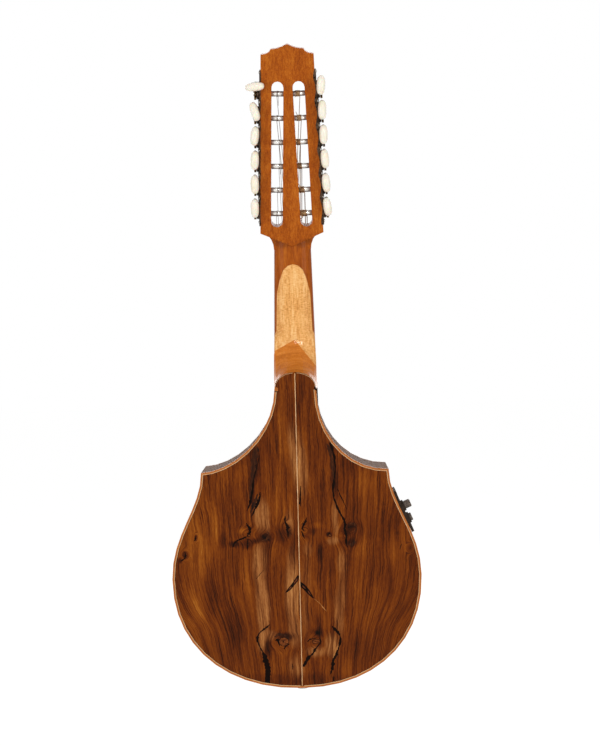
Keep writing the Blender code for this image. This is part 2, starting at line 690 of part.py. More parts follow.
def worm_knob_solid(button_turn):
    """The worm with its shaft and button in one closed mesh, along -Y from the front to the button.

    The thread is one helical strip. Its profile has four points at each step, and the last point of a
    step meets the first point of the step one turn later.
    """
    sides, steps = ROUND_SIDES, round(WORM_TURNS * ROUND_SIDES)
    first_angle = -math.pi / 2 - math.pi * steps / sides
    middle = ROLLER_DEPTH
    half_root, half_tip = THREAD_ROOT_WIDTH / 2, THREAD_TIP_WIDTH / 2
    profile = (
        (-half_root, WORM_ROOT_RADIUS),
        (-half_tip, WORM_TIP_RADIUS),
        (half_tip, WORM_TIP_RADIUS),
        (half_root, WORM_ROOT_RADIUS),
    )
    points, faces = [], []

    def angle_at(step):
        return first_angle + 2 * math.pi * step / sides

    for step in range(steps + 1):
        crest = middle + WORM_PITCH * (step - steps / 2) / sides
        for shift, radius in profile:
            points.append(worm_point(crest + shift, radius, angle_at(step)))

    def thread(step, corner):
        return 4 * step + corner

    for step in range(steps):
        for corner in range(3):
            faces.append(
                [
                    thread(step, corner),
                    thread(step, corner + 1),
                    thread(step + 1, corner + 1),
                    thread(step + 1, corner),
                ]
            )
        if step + 1 + sides <= steps:
            faces.append(
                [
                    thread(step, 3),
                    thread(step + sides, 0),
                    thread(step + 1 + sides, 0),
                    thread(step + 1, 3),
                ]
            )
    faces.append([thread(0, corner) for corner in range(4)])
    faces.append([thread(steps, corner) for corner in range(4)])

    def ring(along, radius_of, first_step):
        start = len(points)
        for i in range(sides):
            angle = angle_at(first_step + i)
            points.append(radius_of(along, angle))
        return [start + i for i in range(sides)]

    def bridge(low, high):
        for i in range(sides):
            j = (i + 1) % sides
            faces.append([low[i], low[j], high[j], high[i]])

    def shaft(radius):
        return lambda along, angle: worm_point(along, radius, angle)

    reach = WORM_PITCH * steps / sides / 2 + half_root + 0.0004
    front = ring(middle - reach, shaft(WORM_ROOT_RADIUS), 0)
    for i in range(sides - 1):
        faces.append([front[i], front[i + 1], thread(i + 1, 0), thread(i, 0)])
    last = sides - 1
    faces.append(
        [front[last], front[0], thread(0, 0), thread(0, 3), thread(sides, 0), thread(last, 0)]
    )
    low_step = steps - sides
    back = ring(middle + reach, shaft(WORM_ROOT_RADIUS), low_step)
    faces.append(
        [
            thread(low_step, 3),
            thread(low_step + 1, 3),
            back[1],
            back[0],
            thread(steps, 3),
            thread(steps, 0),
        ]
    )
    for i in range(1, sides):
        after = (i + 1) % sides
        faces.append([thread(low_step + i, 3), thread(low_step + i + 1, 3), back[after], back[i]])
    neck = ring(middle - reach, shaft(WORM_SHAFT_RADIUS), 0)
    bridge(front, neck)
    tip = ring(WORM_SHAFT_START, shaft(WORM_SHAFT_RADIUS), 0)
    bridge(neck, tip)
    faces.append(tip)
    previous = ring(middle + reach, shaft(WORM_SHAFT_RADIUS), low_step)
    bridge(back, previous)
    turn = math.radians(button_turn)

    def oval(share):
        def place(along, angle):
            flat = share * BUTTON_HALF_THICKNESS * math.cos(angle - turn)
            long = share * BUTTON_HALF_LENGTH * math.sin(angle - turn)
            x = flat * math.cos(turn) - long * math.sin(turn)
            return (x, -along, flat * math.sin(turn) + long * math.cos(turn))

        return place

    stem = ring(BUTTON_RINGS[0][0], shaft(WORM_SHAFT_RADIUS), low_step)
    bridge(previous, stem)
    previous = stem
    for along, share in BUTTON_RINGS:
        current = ring(along, oval(share), low_step)
        bridge(previous, current)
        previous = current
    faces.append(previous)
    return points, faces


def roller_solid():
    """A roller with its worm gear and the gear's screw, along X from the screw in to the journal."""
    pitch = 2 * math.pi / GEAR_TEETH
    points, faces = [], []

    def ring(x, radius):
        start = len(points)
        for i in range(GEAR_TEETH):
            angle = math.pi / 2 + pitch * (i + 0.5)
            points.append((x, radius * math.cos(angle), radius * math.sin(angle)))
        return [start + i for i in range(GEAR_TEETH)]

    def teeth(x):
        start = len(points)
        for i in range(GEAR_TEETH):
            middle = math.pi / 2 + pitch * (i + 0.5)
            for radius, half in (
                (GEAR_ROOT_RADIUS, -TOOTH_ROOT_HALF),
                (GEAR_TIP_RADIUS, -TOOTH_TIP_HALF),
                (GEAR_TIP_RADIUS, TOOTH_TIP_HALF),
                (GEAR_ROOT_RADIUS, TOOTH_ROOT_HALF),
            ):
                angle = middle + half / radius
                points.append((x, radius * math.cos(angle), radius * math.sin(angle)))
        return [start + i for i in range(4 * GEAR_TEETH)]

    def bridge(low, high):
        for i in range(len(low)):
            j = (i + 1) % len(low)
            faces.append([low[i], low[j], high[j], high[i]])

    def web(inner, outer):
        for i in range(GEAR_TEETH):
            j = (i + 1) % GEAR_TEETH
            tooth = outer[4 * i : 4 * i + 4]
            faces.append([inner[i], *tooth])
            faces.append([inner[i], tooth[3], outer[4 * j], inner[j]])

    outer_face, inner_face = GEAR_X + GEAR_THICKNESS / 2, GEAR_X - GEAR_THICKNESS / 2
    screw_top = ring(outer_face + GEAR_SCREW_HEIGHT, GEAR_SCREW_RADIUS)
    screw_foot = ring(outer_face, GEAR_SCREW_RADIUS)
    gear_out, gear_in = teeth(outer_face), teeth(inner_face)
    hub = ring(inner_face, ROLLER_RADIUS)
    end = ring(ROLLER_END_X, ROLLER_RADIUS)
    faces.append(screw_top)
    bridge(screw_top, screw_foot)
    web(screw_foot, gear_out)
    bridge(gear_out, gear_in)
    web(hub, gear_in)
    bridge(hub, end)
    faces.append(end)
    return points, faces


def build_machines(metal, ivory, side_frames):
    """The twelve tuning machines: a knob with its worm, and a roller with its gear, for each string."""
    for side_name, frame in side_frames.items():
        sign = SIDES[side_name]
        build_machine_plate(side_name, frame, metal)
        for i, height in enumerate(roller_heights()):
            name = f"tuner_{side_name}_{i + 1}"
            worm_place = (sign * GEAR_X, 0.0, height + WORM_OFFSET)
            roller_place = (0.0, -ROLLER_DEPTH, height)
            worm_axis = add_empty(f"{name}_worm_axis", worm_place, parent=frame)
            roller_axis = add_empty(f"{name}_roller_axis", roller_place, parent=frame)
            points, faces = worm_knob_solid(BUTTON_TURNS[side_name][i])
            points = [(sign * x, y, z) for x, y, z in points]
            round_off(add_object(f"{name}_knob", points, faces, ivory, worm_axis))
            points, faces = roller_solid()
            points = [(sign * x, y, z) for x, y, z in points]
            round_off(add_object(f"{name}_roller", points, faces, metal, roller_axis))


def build_fingerboard(wood):
    """The fingerboard with its frets, as one long profile that widens towards the body."""
    top = BOARD_THICKNESS
    profile = [(GAP, 0.0), (top, 0.0)]
    for number in range(1, FRET_COUNT + 1):
        z = fret_z(number)
        half = FRET_WIDTH / 2
        profile += [
            (top, z + half),
            (top + FRET_HEIGHT, z + half * 0.5),
            (top + FRET_HEIGHT, z - half * 0.5),
            (top, z - half),
        ]
    profile += [(top, BOARD_END_Z), (GAP, BOARD_END_Z)]
    rings = [[(sign * neck_half_width(z), y, z) for y, z in profile] for sign in (-1, 1)]
    add_object("fingerboard", *loft(rings), wood["ebony"])


def build_nut_and_bridge(wood, bone):
    """The nut at the head's foot, the bridge on the soundboard, and the saddle in its slot."""
    half = NUT_HALF_WIDTH
    slope = math.tan(HEAD_ANGLE)
    rings = [
        [
            (x, GAP, GAP),
            (x, NUT_TOP_Y, GAP),
            (x, NUT_TOP_Y - NUT_DROP, NUT_LENGTH),
            (x, GAP - slope * NUT_LENGTH + GAP, NUT_LENGTH),
        ]
        for x in (-half, half)
    ]
    add_object("nut", *loft(rings), bone)
    z = -SCALE_LENGTH
    wing, block_half = BRIDGE_HALF_WIDTH, SADDLE_HALF_WIDTH + 0.005
    profile = [
        (-wing, GAP),
        (-wing, 0.0030),
        (-block_half - 0.004, 0.0034),
        (-block_half, BRIDGE_HEIGHT),
    ]
    profile += [(-x, y) for x, y in reversed(profile)]
    rings = [
        [(x, y, z + side * BRIDGE_HALF_LENGTH) for x, y in profile] for side in (-1, 1)
    ]
    bridge = add_object("bridge", *loft(rings), wood["ebony"])
    saddle_low = (-SADDLE_HALF_WIDTH, SADDLE_FOOT_Y, z - SADDLE_THICKNESS / 2)
    saddle_high = (SADDLE_HALF_WIDTH, SADDLE_TOP_Y, z + SADDLE_THICKNESS / 2)
    add_object("saddle", *block(saddle_low, saddle_high), bone)
    slot_low = tuple(v - GAP for v in saddle_low)
    slot_high = (saddle_high[0] + GAP, 0.02, saddle_high[2] + GAP)
    combine(bridge, add_object("saddle_slot", *block(slot_low, slot_high)), "DIFFERENCE")


def string_end(nut_top, radius, roller_l):
    """Where a string from the nut first meets the front of its roller, in the head's plane.

    Both points are pairs of the distance along the head and the depth behind its front face.
    """
    reach = ROLLER_RADIUS + radius + GAP
    gap_l, gap_n = roller_l - nut_top[0], ROLLER_DEPTH - nut_top[1]
    distance = math.hypot(gap_l, gap_n)
    run = math.sqrt(distance**2 - reach**2)
    angle = math.atan2(gap_n, gap_l) - math.asin(reach / distance)
    return (nut_top[0] + run * math.cos(angle), nut_top[1] + run * math.sin(angle))


def string_route(side_name, course, member, radius):
    """The points that one string follows, from its anchor in the bridge to its roller."""
    sign = SIDES[side_name]
    outer = 1 if member == "outer" else -1
    nut_x = (course + 0.5) * NUT_COURSE_SPACING + outer * NUT_PAIR_HALF_GAP
    saddle_x = (course + 0.5) * SADDLE_COURSE_SPACING + outer * SADDLE_PAIR_HALF_GAP
    machine = 2 * (2 - course) + (0 if member == "outer" else 1)
    roller_l = roller_heights()[machine]
    slope = Vector((NUT_LENGTH - GAP, -NUT_DROP)).normalized()
    rise = Vector((-slope.y, slope.x)) * (GAP + radius)
    nut_front = Vector((GAP, NUT_TOP_Y)) + rise
    nut_rear = Vector((NUT_LENGTH, NUT_TOP_Y - NUT_DROP)) + rise
    turn = Matrix.Rotation(-HEAD_ANGLE, 3, "X")
    at_nut = turn @ Vector((0.0, nut_rear.y, nut_rear.x))
    end_l, end_n = string_end((at_nut.z, -at_nut.y), radius, roller_l)
    slot_x = head_half_width(roller_l) - SLOT_WALL - SLOT_WIDTH / 2
    roller_x = max(slot_x + (0.0012 if course == 0 else -0.0030 + 0.0015 * course), nut_x)
    end = Matrix.Rotation(HEAD_ANGLE, 3, "X") @ Vector((sign * roller_x, -end_n, end_l))
    return [
        (sign * saddle_x, ANCHOR_Y, ANCHOR_Z),
        (sign * saddle_x, SADDLE_TOP_Y + GAP + radius, -SCALE_LENGTH),
        (sign * nut_x, nut_front.y, nut_front.x),
        (sign * nut_x, nut_rear.y, nut_rear.x),
        tuple(end),
    ]


def build_strings(steel):
    """Twelve strings in six courses, each a tube from the bridge to its roller."""
    for side_name in SIDES:
        for course in range(3):
            gauge = 3 + course if side_name == "bass" else 2 - course
            for member in ("inner", "outer"):
                radius = COURSE_RADII[gauge]
                route = string_route(side_name, course, member, radius)
                curve = bpy.data.curves.new(f"string_{side_name}_{course + 1}_{member}", "CURVE")
                curve.dimensions = "3D"
                curve.bevel_depth = radius
                curve.bevel_resolution = 2
                curve.use_fill_caps = True
                line = curve.splines.new("POLY")
                line.points.add(len(route) - 1)
                for point, place in zip(line.points, route):
                    point.co = (*place, 1.0)
                curve.materials.append(steel)
                string = bpy.data.objects.new(curve.name, curve)
                bpy.context.scene.collection.objects.link(string)


def flank_frame():
    """A frame at the middle of the preamp on the bass flank: x out of the side, z up along it."""
    points = half_outline("bass", flank_steps=24)
    low = min(points, key=lambda p: abs(p[1] - PREAMP_LOW_Z))
    high = min(points, key=lambda p: abs(p[1] - PREAMP_HIGH_Z))
    lean = math.atan2(low[0] - high[0], high[1] - low[1])
    middle = ((low[0] + high[0]) / 2, MID_DEPTH_Y, (low[1] + high[1]) / 2)
    return add_empty("preamp_frame", middle, (0.0, -lean, 0.0))


def turned(profile, sides, axis="X"):
    """A solid of revolution through pairs of place along the axis and radius."""
    rings = []
    for along, radius in profile:
        if axis == "X":
            rings.append([(along, a, b) for a, b in circle(radius, sides)])
        else:
            rings.append([(a, b, along) for a, b in circle(radius, sides)])
    return loft(rings)


def build_preamp(plastic, frame, cutter):
    """The preamp's panel and box in the bass rib, and its two knobs on their shafts."""
    points = half_outline("bass", flank_steps=24)
    run = [p for p in points if PREAMP_LOW_Z - 0.0012 <= p[1] <= PREAMP_HIGH_Z + 0.0012]
    run = [p for p in run if p[0] > POINT_X["bass"]]
    near, far = inset(run, -GAP), inset(run, -GAP - PREAMP_LIP)
    low, high = MID_DEPTH_Y - PREAMP_HALF_HEIGHT, MID_DEPTH_Y + PREAMP_HALF_HEIGHT
    rings = [
        [(a[0], low, a[1]), (a[0], high, a[1]), (b[0], high, b[1]), (b[0], low, b[1])]
        for a, b in zip(near, far)
    ]
    panel = add_object("preamp_housing", *loft(rings), plastic)
    size = (PREAMP_BOX_DEPTH, PREAMP_BOX_HALF_HEIGHT, PREAMP_BOX_HALF_LENGTH)
    box = block((-size[0], -size[1], -size[2]), (PREAMP_LIP / 2, size[1], size[2]))
    combine(panel, add_object("preamp_box", *box, parent=frame), "UNION")
    room = tuple(v + 2 * GAP for v in size)
    cut = block((-room[0], -room[1], -room[2]), (0.02, room[1], room[2]))
    cutter.data = add_object("preamp_cut_shape", *cut).data
    bpy.data.objects.remove(bpy.data.objects["preamp_cut_shape"])
    for name, along, height in (
        ("volume_knob", VOLUME_KNOB_ALONG, VOLUME_KNOB_HEIGHT),
        ("tone_knob", TONE_KNOB_ALONG, TONE_KNOB_HEIGHT),
    ):
        axis = add_empty(f"{name}_axis", (0.0, 0.0, -along), parent=frame)
        face = GAP + PREAMP_LIP + 0.0008
        profile = [
            (face - POT_BORE_DEPTH + 0.0006, POT_SHAFT_RADIUS),
            (face, POT_SHAFT_RADIUS),
            (face, KNOB_RADIUS),
            (face + height * 0.92, KNOB_RADIUS),
            (face + height, KNOB_RADIUS * 0.86),
        ]
        round_off(add_object(name, *turned(profile, KNOB_SIDES), plastic, axis))
        bore = turned([(face - POT_BORE_DEPTH, POT_BORE_RADIUS), (face + 0.01, POT_BORE_RADIUS)], 12)
        combine(panel, add_object(f"{name}_bore", *bore, parent=axis), "DIFFERENCE")


def build_jack(metal):
    """The output jack, which doubles as the strap button, through the tail block."""
    outside = TAIL_Z - GAP
    profile = [
        (outside - JACK_OUT, JACK_FLANGE_RADIUS * 0.9),
        (outside - JACK_OUT + 0.0008, JACK_FLANGE_RADIUS),
        (outside - JACK_OUT + 0.0026, JACK_FLANGE_RADIUS),
        (outside - JACK_OUT + 0.0040, JACK_SLEEVE_RADIUS),
        (outside - 0.0018, JACK_SLEEVE_RADIUS),
        (outside - 0.0014, JACK_FLANGE_RADIUS),
        (outside, JACK_FLANGE_RADIUS),
        (outside, JACK_SLEEVE_RADIUS),
        (outside + JACK_DEPTH, JACK_SLEEVE_RADIUS),
    ]
    place = add_empty("jack_axis", (0.0, MID_DEPTH_Y, 0.0))
    jack = add_object("output_jack", *turned(profile, JACK_SIDES, "Z"), metal, place)
    bore = [(outside - JACK_OUT - 0.01, JACK_BORE_RADIUS)]
    bore.append((outside - JACK_OUT + JACK_BORE_DEPTH, JACK_BORE_RADIUS))
    combine(jack, add_object("jack_bore", *turned(bore, JACK_SIDES, "Z"), parent=place), "DIFFERENCE")


def main():
    """Builds the instrument piece by piece."""
    clear_scene()
    wood = {
        "spruce": finish_of("spruce", (0.78, 0.56, 0.30), 0.35),
        "walnut": finish_of("walnut", (0.20, 0.07, 0.02), 0.25),
        "maple": finish_of("maple", (0.66, 0.35, 0.13), 0.30),
        "mahogany": finish_of("mahogany", (0.42, 0.14, 0.03), 0.35),
        "cedar": finish_of("cedar", (0.72, 0.42, 0.18), 0.30),
        "heel": finish_of("heel", (0.58, 0.29, 0.09), 0.30),
        "ebony": finish_of("ebony", (0.05, 0.03, 0.02), 0.40),
    }
    steel = finish_of("steel", (0.60, 0.58, 0.55), 0.25, 1.0)
    plastic = finish_of("plastic", (0.03, 0.03, 0.03), 0.50)
    ivory = finish_of("ivory", (0.88, 0.84, 0.70), 0.20)
    bone = finish_of("bone", (0.85, 0.80, 0.66), 0.40)

    head_frame = add_empty("head_frame", turn=(HEAD_ANGLE, 0.0, 0.0))
    side_frames = {
        side: add_empty(
            f"{side}_side",
            (sign * HEAD_HALF_WIDTH_AT_NUT, 0.0, 0.0),
            (0.0, -sign * HEAD_SIDE_TAPER, 0.0),
            head_frame,
        )
        for side, sign in SIDES.items()
    }
    flank = flank_frame()
    preamp_cutter = add_object("preamp_cutter", *block((0, 0, 0), (0.01, 0.01, 0.01)), parent=flank)
    jack_hole = turned([(TAIL_Z - 0.02, JACK_HOLE_RADIUS), (TAIL_Z + 0.06, JACK_HOLE_RADIUS)], 16, "Z")
    jack_place = add_empty("jack_hole_axis", (0.0, MID_DEPTH_Y, 0.0))
    jack_cutter = add_object("jack_cutter", *jack_hole, parent=jack_place)
    hole = [[(x, y, SOUND_HOLE_Z + z) for x, z in circle(SOUND_HOLE_RADIUS, 32)] for y in (-0.03, 0.01)]
    hole_cutter = add_object("sound_hole_cutter", *loft(hole))

    build_plates(wood, hole_cutter)
    build_bindings(wood)
    build_ribs(wood, {"bass": (preamp_cutter, jack_cutter), "treble": (jack_cutter,)})
    build_blocks(wood, jack_cutter)
    build_bracing(wood, hole_cutter)
    build_neck(wood)
    build_head(wood, head_frame, side_frames)
    build_machines(steel, ivory, side_frames)
    build_fingerboard(wood)
    build_nut_and_bridge(wood, bone)
    build_strings(steel)
    build_preamp(plastic, flank, preamp_cutter)
    build_jack(steel)


main()
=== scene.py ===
"""Looks of a twelve-string mandolin, seen from behind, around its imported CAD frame.

Every mesh is in metres in the instrument's own frame: X to the bass side, Y to the front, Z up. The
origin lies where the fingerboard meets the head. Sizes that end in _mm are in millimetres.
"""

import json
import logging
import math
from dataclasses import dataclass
from enum import Enum
from typing import Any, ClassVar, Iterable, Optional, Sequence

import bmesh
import bpy
import numpy as np
from mathutils import Matrix, Vector


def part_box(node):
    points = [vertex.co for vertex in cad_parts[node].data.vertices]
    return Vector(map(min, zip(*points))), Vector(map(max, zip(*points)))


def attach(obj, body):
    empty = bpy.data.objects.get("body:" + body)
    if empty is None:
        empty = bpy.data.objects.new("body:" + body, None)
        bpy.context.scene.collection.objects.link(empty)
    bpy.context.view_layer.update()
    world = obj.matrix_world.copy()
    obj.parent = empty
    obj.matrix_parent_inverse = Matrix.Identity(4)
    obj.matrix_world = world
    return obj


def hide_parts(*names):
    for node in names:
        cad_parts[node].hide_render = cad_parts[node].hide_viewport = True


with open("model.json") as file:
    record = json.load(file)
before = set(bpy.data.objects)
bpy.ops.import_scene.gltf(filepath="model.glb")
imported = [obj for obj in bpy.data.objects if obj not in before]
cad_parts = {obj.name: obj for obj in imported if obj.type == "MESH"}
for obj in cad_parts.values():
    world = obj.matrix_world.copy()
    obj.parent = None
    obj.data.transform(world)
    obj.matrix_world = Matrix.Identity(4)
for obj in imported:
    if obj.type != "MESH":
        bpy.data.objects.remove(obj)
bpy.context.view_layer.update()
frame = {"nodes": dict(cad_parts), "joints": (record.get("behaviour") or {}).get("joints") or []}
LOG = logging.getLogger("mandolin")
MM = 0.001
# The depth of the back's face, and the angle that the head leans back by.
BACK_Y = -0.0710
HEAD_ANGLE = math.radians(14.0)
# The way that the head's back face looks, and the way that the flat back does.
HEAD_WAY = (0.0, math.cos(HEAD_ANGLE), math.sin(HEAD_ANGLE))
BACK_WAY = (0.0, 1.0, 0.0)
WHITE = (1.0, 1.0, 1.0, 1.0)
# How close to its sides painted shade darkens a rounded piece (and a painted dark reflection a metal
# one), and how close to its rim painted shade darkens a button.
PAINTED_DARK_SIDES_POWER, PAINTED_RIM_SHADE_POWER = 1.3, 6.0
# Quarter turns that lay a shape on the Z axis along X, and point it out of the back.
ALONG_X = Matrix.Rotation(math.radians(90), 4, "Y")
OUT_OF_BACK = Matrix.Rotation(math.radians(90), 4, "X")

Flat = tuple[float, float]
Place = tuple[float, float, float]
Outline = list[Flat]
Socket = bpy.types.NodeSocket


class Side(Enum):
    """The two sides of the instrument, as the sign of X."""

    BASS = 1
    TREBLE = -1

    @property
    def label(self) -> str:
        """The side's name in node names."""
        return self.name.lower()


class Along(Enum):
    """The direction that a wood's grain runs in."""

    LENGTH = (1.0, 1.0, 0.0)
    WIDTH = (0.0, 1.0, 1.0)
    OUTLINE = (0.25, 1.0, 0.25)


# Meshes.


@dataclass
class Solid:
    """One or more closed shapes, as points and faces."""

    points: list[Vector]
    faces: list[list[int]]

    def moved(self, matrix: Matrix) -> "Solid":
        """The shape after a move or turn."""
        return Solid([matrix @ p for p in self.points], self.faces)


def merged(solids: Iterable[Solid]) -> Solid:
    """Several solids as separate shells in one mesh.

    Args:
        solids: The solids, in order.

    Returns:
        One solid with all of their points and faces.
    """
    points, faces = [], []
    for solid in solids:
        faces += [[len(points) + i for i in face] for face in solid.faces]
        points += solid.points
    return Solid(points, faces)


def loft(rings: Sequence[Sequence[Sequence[float]]]) -> Solid:
    """A closed shape through rings with the same number of points.

    Args:
        rings: Closed rings of points, in order from one end to the other.

    Returns:
        The shape, with a flat face at each end.
    """
    count = len(rings[0])
    points = [Vector(p) for ring in rings for p in ring]
    faces = [list(range(count)), [len(points) - 1 - i for i in range(count)]]
    for r in range(len(rings) - 1):
        for i in range(count):
            a, b = r * count + i, r * count + (i + 1) % count
            faces.append([a, b, b + count, a + count])
    return Solid(points, faces)


def oval(x: float, z: float, half_x: float, half_z: float, sides: int = 20) -> Outline:
    """An oval outline round a place."""
    turns = [2 * math.pi * i / sides for i in range(sides)]
    return [(x + half_x * math.cos(t), z + half_z * math.sin(t)) for t in turns]


def half_turn(steps: int) -> list[float]:
    """The angles of evenly spread points on half a turn."""
    return [math.pi * i / steps for i in range(steps + 1)]


def turned(profile: Sequence[Flat], sides: int = 28) -> Solid:
    """A shape turned round the Z axis, from pairs of height and radius."""
    return loft([[(x, y, z) for x, y in oval(0.0, 0.0, r, r, sides)] for z, r in profile])


def slab(outline: Iterable[Flat], y_low: float, y_high: float) -> Solid:
    """A flat piece with an outline in X and Z, between two depths."""
    run = list(outline)
    return loft([[(x, y, z) for x, z in run] for y in (y_low, y_high)])


def slotted_head(rows: Sequence[Flat], gap: float, squash: float, steps: int) -> Solid:
    """A screw's head that looks along X, as two half heads with a slot between them.

    Args:
        rows: Pairs of height and radius, from the seat up.
        gap: Half the slot's width.
        squash: How much of the radius each half has across the slot.
        steps: How many flats make half a round.

    Returns:
        Both halves.
    """
    halves = []
    for sign in (-1, 1):
        rings = []
        for height, radius in rows:
            half = [(gap + radius * squash * math.sin(t), t) for t in half_turn(steps)]
            rings.append([(height, sign * y, radius * math.cos(t)) for y, t in half])
        halves.append(loft(rings))
    return merged(halves)


def ring_band(outer: Outline, inner: Outline, y_low: float, y_high: float) -> Solid:
    """A closed ring between two outlines with the same number of points, between two depths.

    Args:
        outer: The outer edge.
        inner: The inner edge, with as many points.
        y_low: Where its back is.
        y_high: Where its front is.

    Returns:
        The closed band.
    """
    corners = ((outer, y_low), (outer, y_high), (inner, y_high), (inner, y_low))
    points = [Vector((run[i][0], y, run[i][1])) for i in range(len(outer)) for run, y in corners]
    faces = []
    for i in range(0, len(points), 4):
        for k in range(4):
            a, b = i + k, i + (k + 1) % 4
            faces.append([a, b, (b + 4) % len(points), (a + 4) % len(points)])
    return Solid(points, faces)


def tube(path: Sequence[Vector], radius: float, sides: int = 6) -> Solid:
    """A round rod along a path, without twist.

    Args:
        path: The points of its middle line.
        radius: The rod's radius.
        sides: How many flats make the round.

    Returns:
        The closed rod.
    """
    rings, across = [], None
    for i, point in enumerate(path):
        ahead = (path[min(i + 1, len(path) - 1)] - path[max(i - 1, 0)]).normalized()
        across = ahead.orthogonal().normalized() if across is None else across
        across = (across - ahead * across.dot(ahead)).normalized()
        up = ahead.cross(across)
        rings.append([point + across * x + up * y for x, y in oval(0.0, 0.0, radius, radius, sides)])
    return loft(rings)


def drawn_line(points_mm: Sequence[Place]) -> Outline:
    """The outline of a line that grows and thins, with a torn edge, such as a crack in wood.

    Args:
        points_mm: Points of its middle as X, Z and width, in millimetres.

    Returns:
        The outline in metres.
    """
    rows = np.array(points_mm)
    steps = np.linspace(0, len(rows) - 1, 4 * len(rows) - 3)
    fine = np.stack([np.interp(steps, range(len(rows)), column) for column in rows.T], 1)
    torn = 1 + 0.30 * np.sin(fine[:, 1] * 5.1) + 0.22 * np.sin(fine[:, 1] * 11.7 + 1.3)
    half = np.maximum(fine[:, 2] * torn, 0.16) / 2
    runs = np.gradient(fine[:, :2], axis=0)
    runs /= np.linalg.norm(runs, axis=1)[:, None]
    across = np.stack([-runs[:, 1], runs[:, 0]], 1) * half[:, None]
    middle = fine[:, :2] + 0.16 * across * np.sin(fine[:, 1:2] * 3.3)
    return in_metres([*(middle + across), *(middle - across)[::-1]])


def in_metres(run: Iterable[Sequence[float]]) -> Outline:
    """An outline that is given in millimetres."""
    return [(x * MM, z * MM) for x, z in run]


def shrunk(run: Outline, distance: float) -> Outline:
    """An open run of points moved to its left, or to its right for a distance below nought.

    Args:
        run: The line's points, in order.
        distance: How far to move it, to its left.

    Returns:
        The moved line, point for point.
    """
    moved = []
    for i, point in enumerate(run):
        steps = [(run[max(i - 1, 0)], point), (point, run[min(i + 1, len(run) - 1)])]
        ways = [Vector((b[0] - a[0], b[1] - a[1])) for a, b in steps if a != b]
        sides = [Vector((-way.y, way.x)).normalized() for way in ways]
        middle = sum(sides, Vector((0.0, 0.0))).normalized()
        moved.append(tuple(Vector(point) + middle * distance / max(middle.dot(sides[0]), 0.35)))
    return moved


def add_piece(
    name: str,
    solids: Iterable[Solid],
    finish: "Finish",
    slot: str,
    body: str = "instrument",
    stands_for: Sequence[str] = (),
    place: Matrix = Matrix.Identity(4),
    crease: float = 35.0,
) -> None:
    """Adds one visible piece that rides on a CAD body.

    Args:
        name: The piece's name.
        solids: Its shells.
        finish: What it is made of.
        slot: The record's material slot for the piece; not used.
        body: The CAD body that it moves with.
        stands_for: The CAD nodes that it is shown in place of.
        place: The frame that its shells are drawn in.
        crease: The angle in degrees above which an edge stays sharp.
    """
    solid = merged(solids).moved(place)
    mesh = bpy.data.meshes.new(name)
    mesh.from_pydata([tuple(p) for p in solid.points], [], solid.faces)
    shape = bmesh.new()
    shape.from_mesh(mesh)
    bmesh.ops.recalc_face_normals(shape, faces=shape.faces)
    shape.to_mesh(mesh)
    shape.free()
    mesh.shade_smooth()
    mesh.set_sharp_from_angle(angle=math.radians(crease))
    mesh.materials.append(finish.material())
    piece = bpy.data.objects.new(name, mesh)
    bpy.context.scene.collection.objects.link(piece)
    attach(piece, body)
    if stands_for:
        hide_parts(*stands_for)
    LOG.info("%s rides on %s, %d faces", name, body, len(solid.faces))


def dress(finishes: dict[str, "Finish"]) -> None:
    """Gives CAD nodes that stay in view their materials.

    Args:
        finishes: What each node is made of, by the node's name in the record.
    """
    for node, finish in finishes.items():
        mesh = frame["nodes"][node].data
        if not mesh.materials:
            mesh.materials.append(None)
        for i in range(len(mesh.materials)):
            mesh.materials[i] = finish.material()
        LOG.info("%s is %s", node, finish.name)


# Finishes.


def linear(colour: str) -> tuple[float, float, float, float]:
    """An sRGB hex colour as the linear colour that shaders take.

    Args:
        colour: The colour as #RRGGBB.

    Returns:
        Red, green, blue and 1, as light.
    """
    parts = [int(colour[i : i + 2], 16) / 255 for i in (1, 3, 5)]
    bent = [c / 12.92 if c <= 0.04045 else ((c + 0.055) / 1.055) ** 2.4 for c in parts]
    return (bent[0], bent[1], bent[2], 1.0)


@dataclass(frozen=True)
class Spot:
    """A soft oval place in a wood, with the strength of what it does there."""

    x_mm: float
    z_mm: float
    half_x_mm: float
    half_z_mm: float
    amount: float


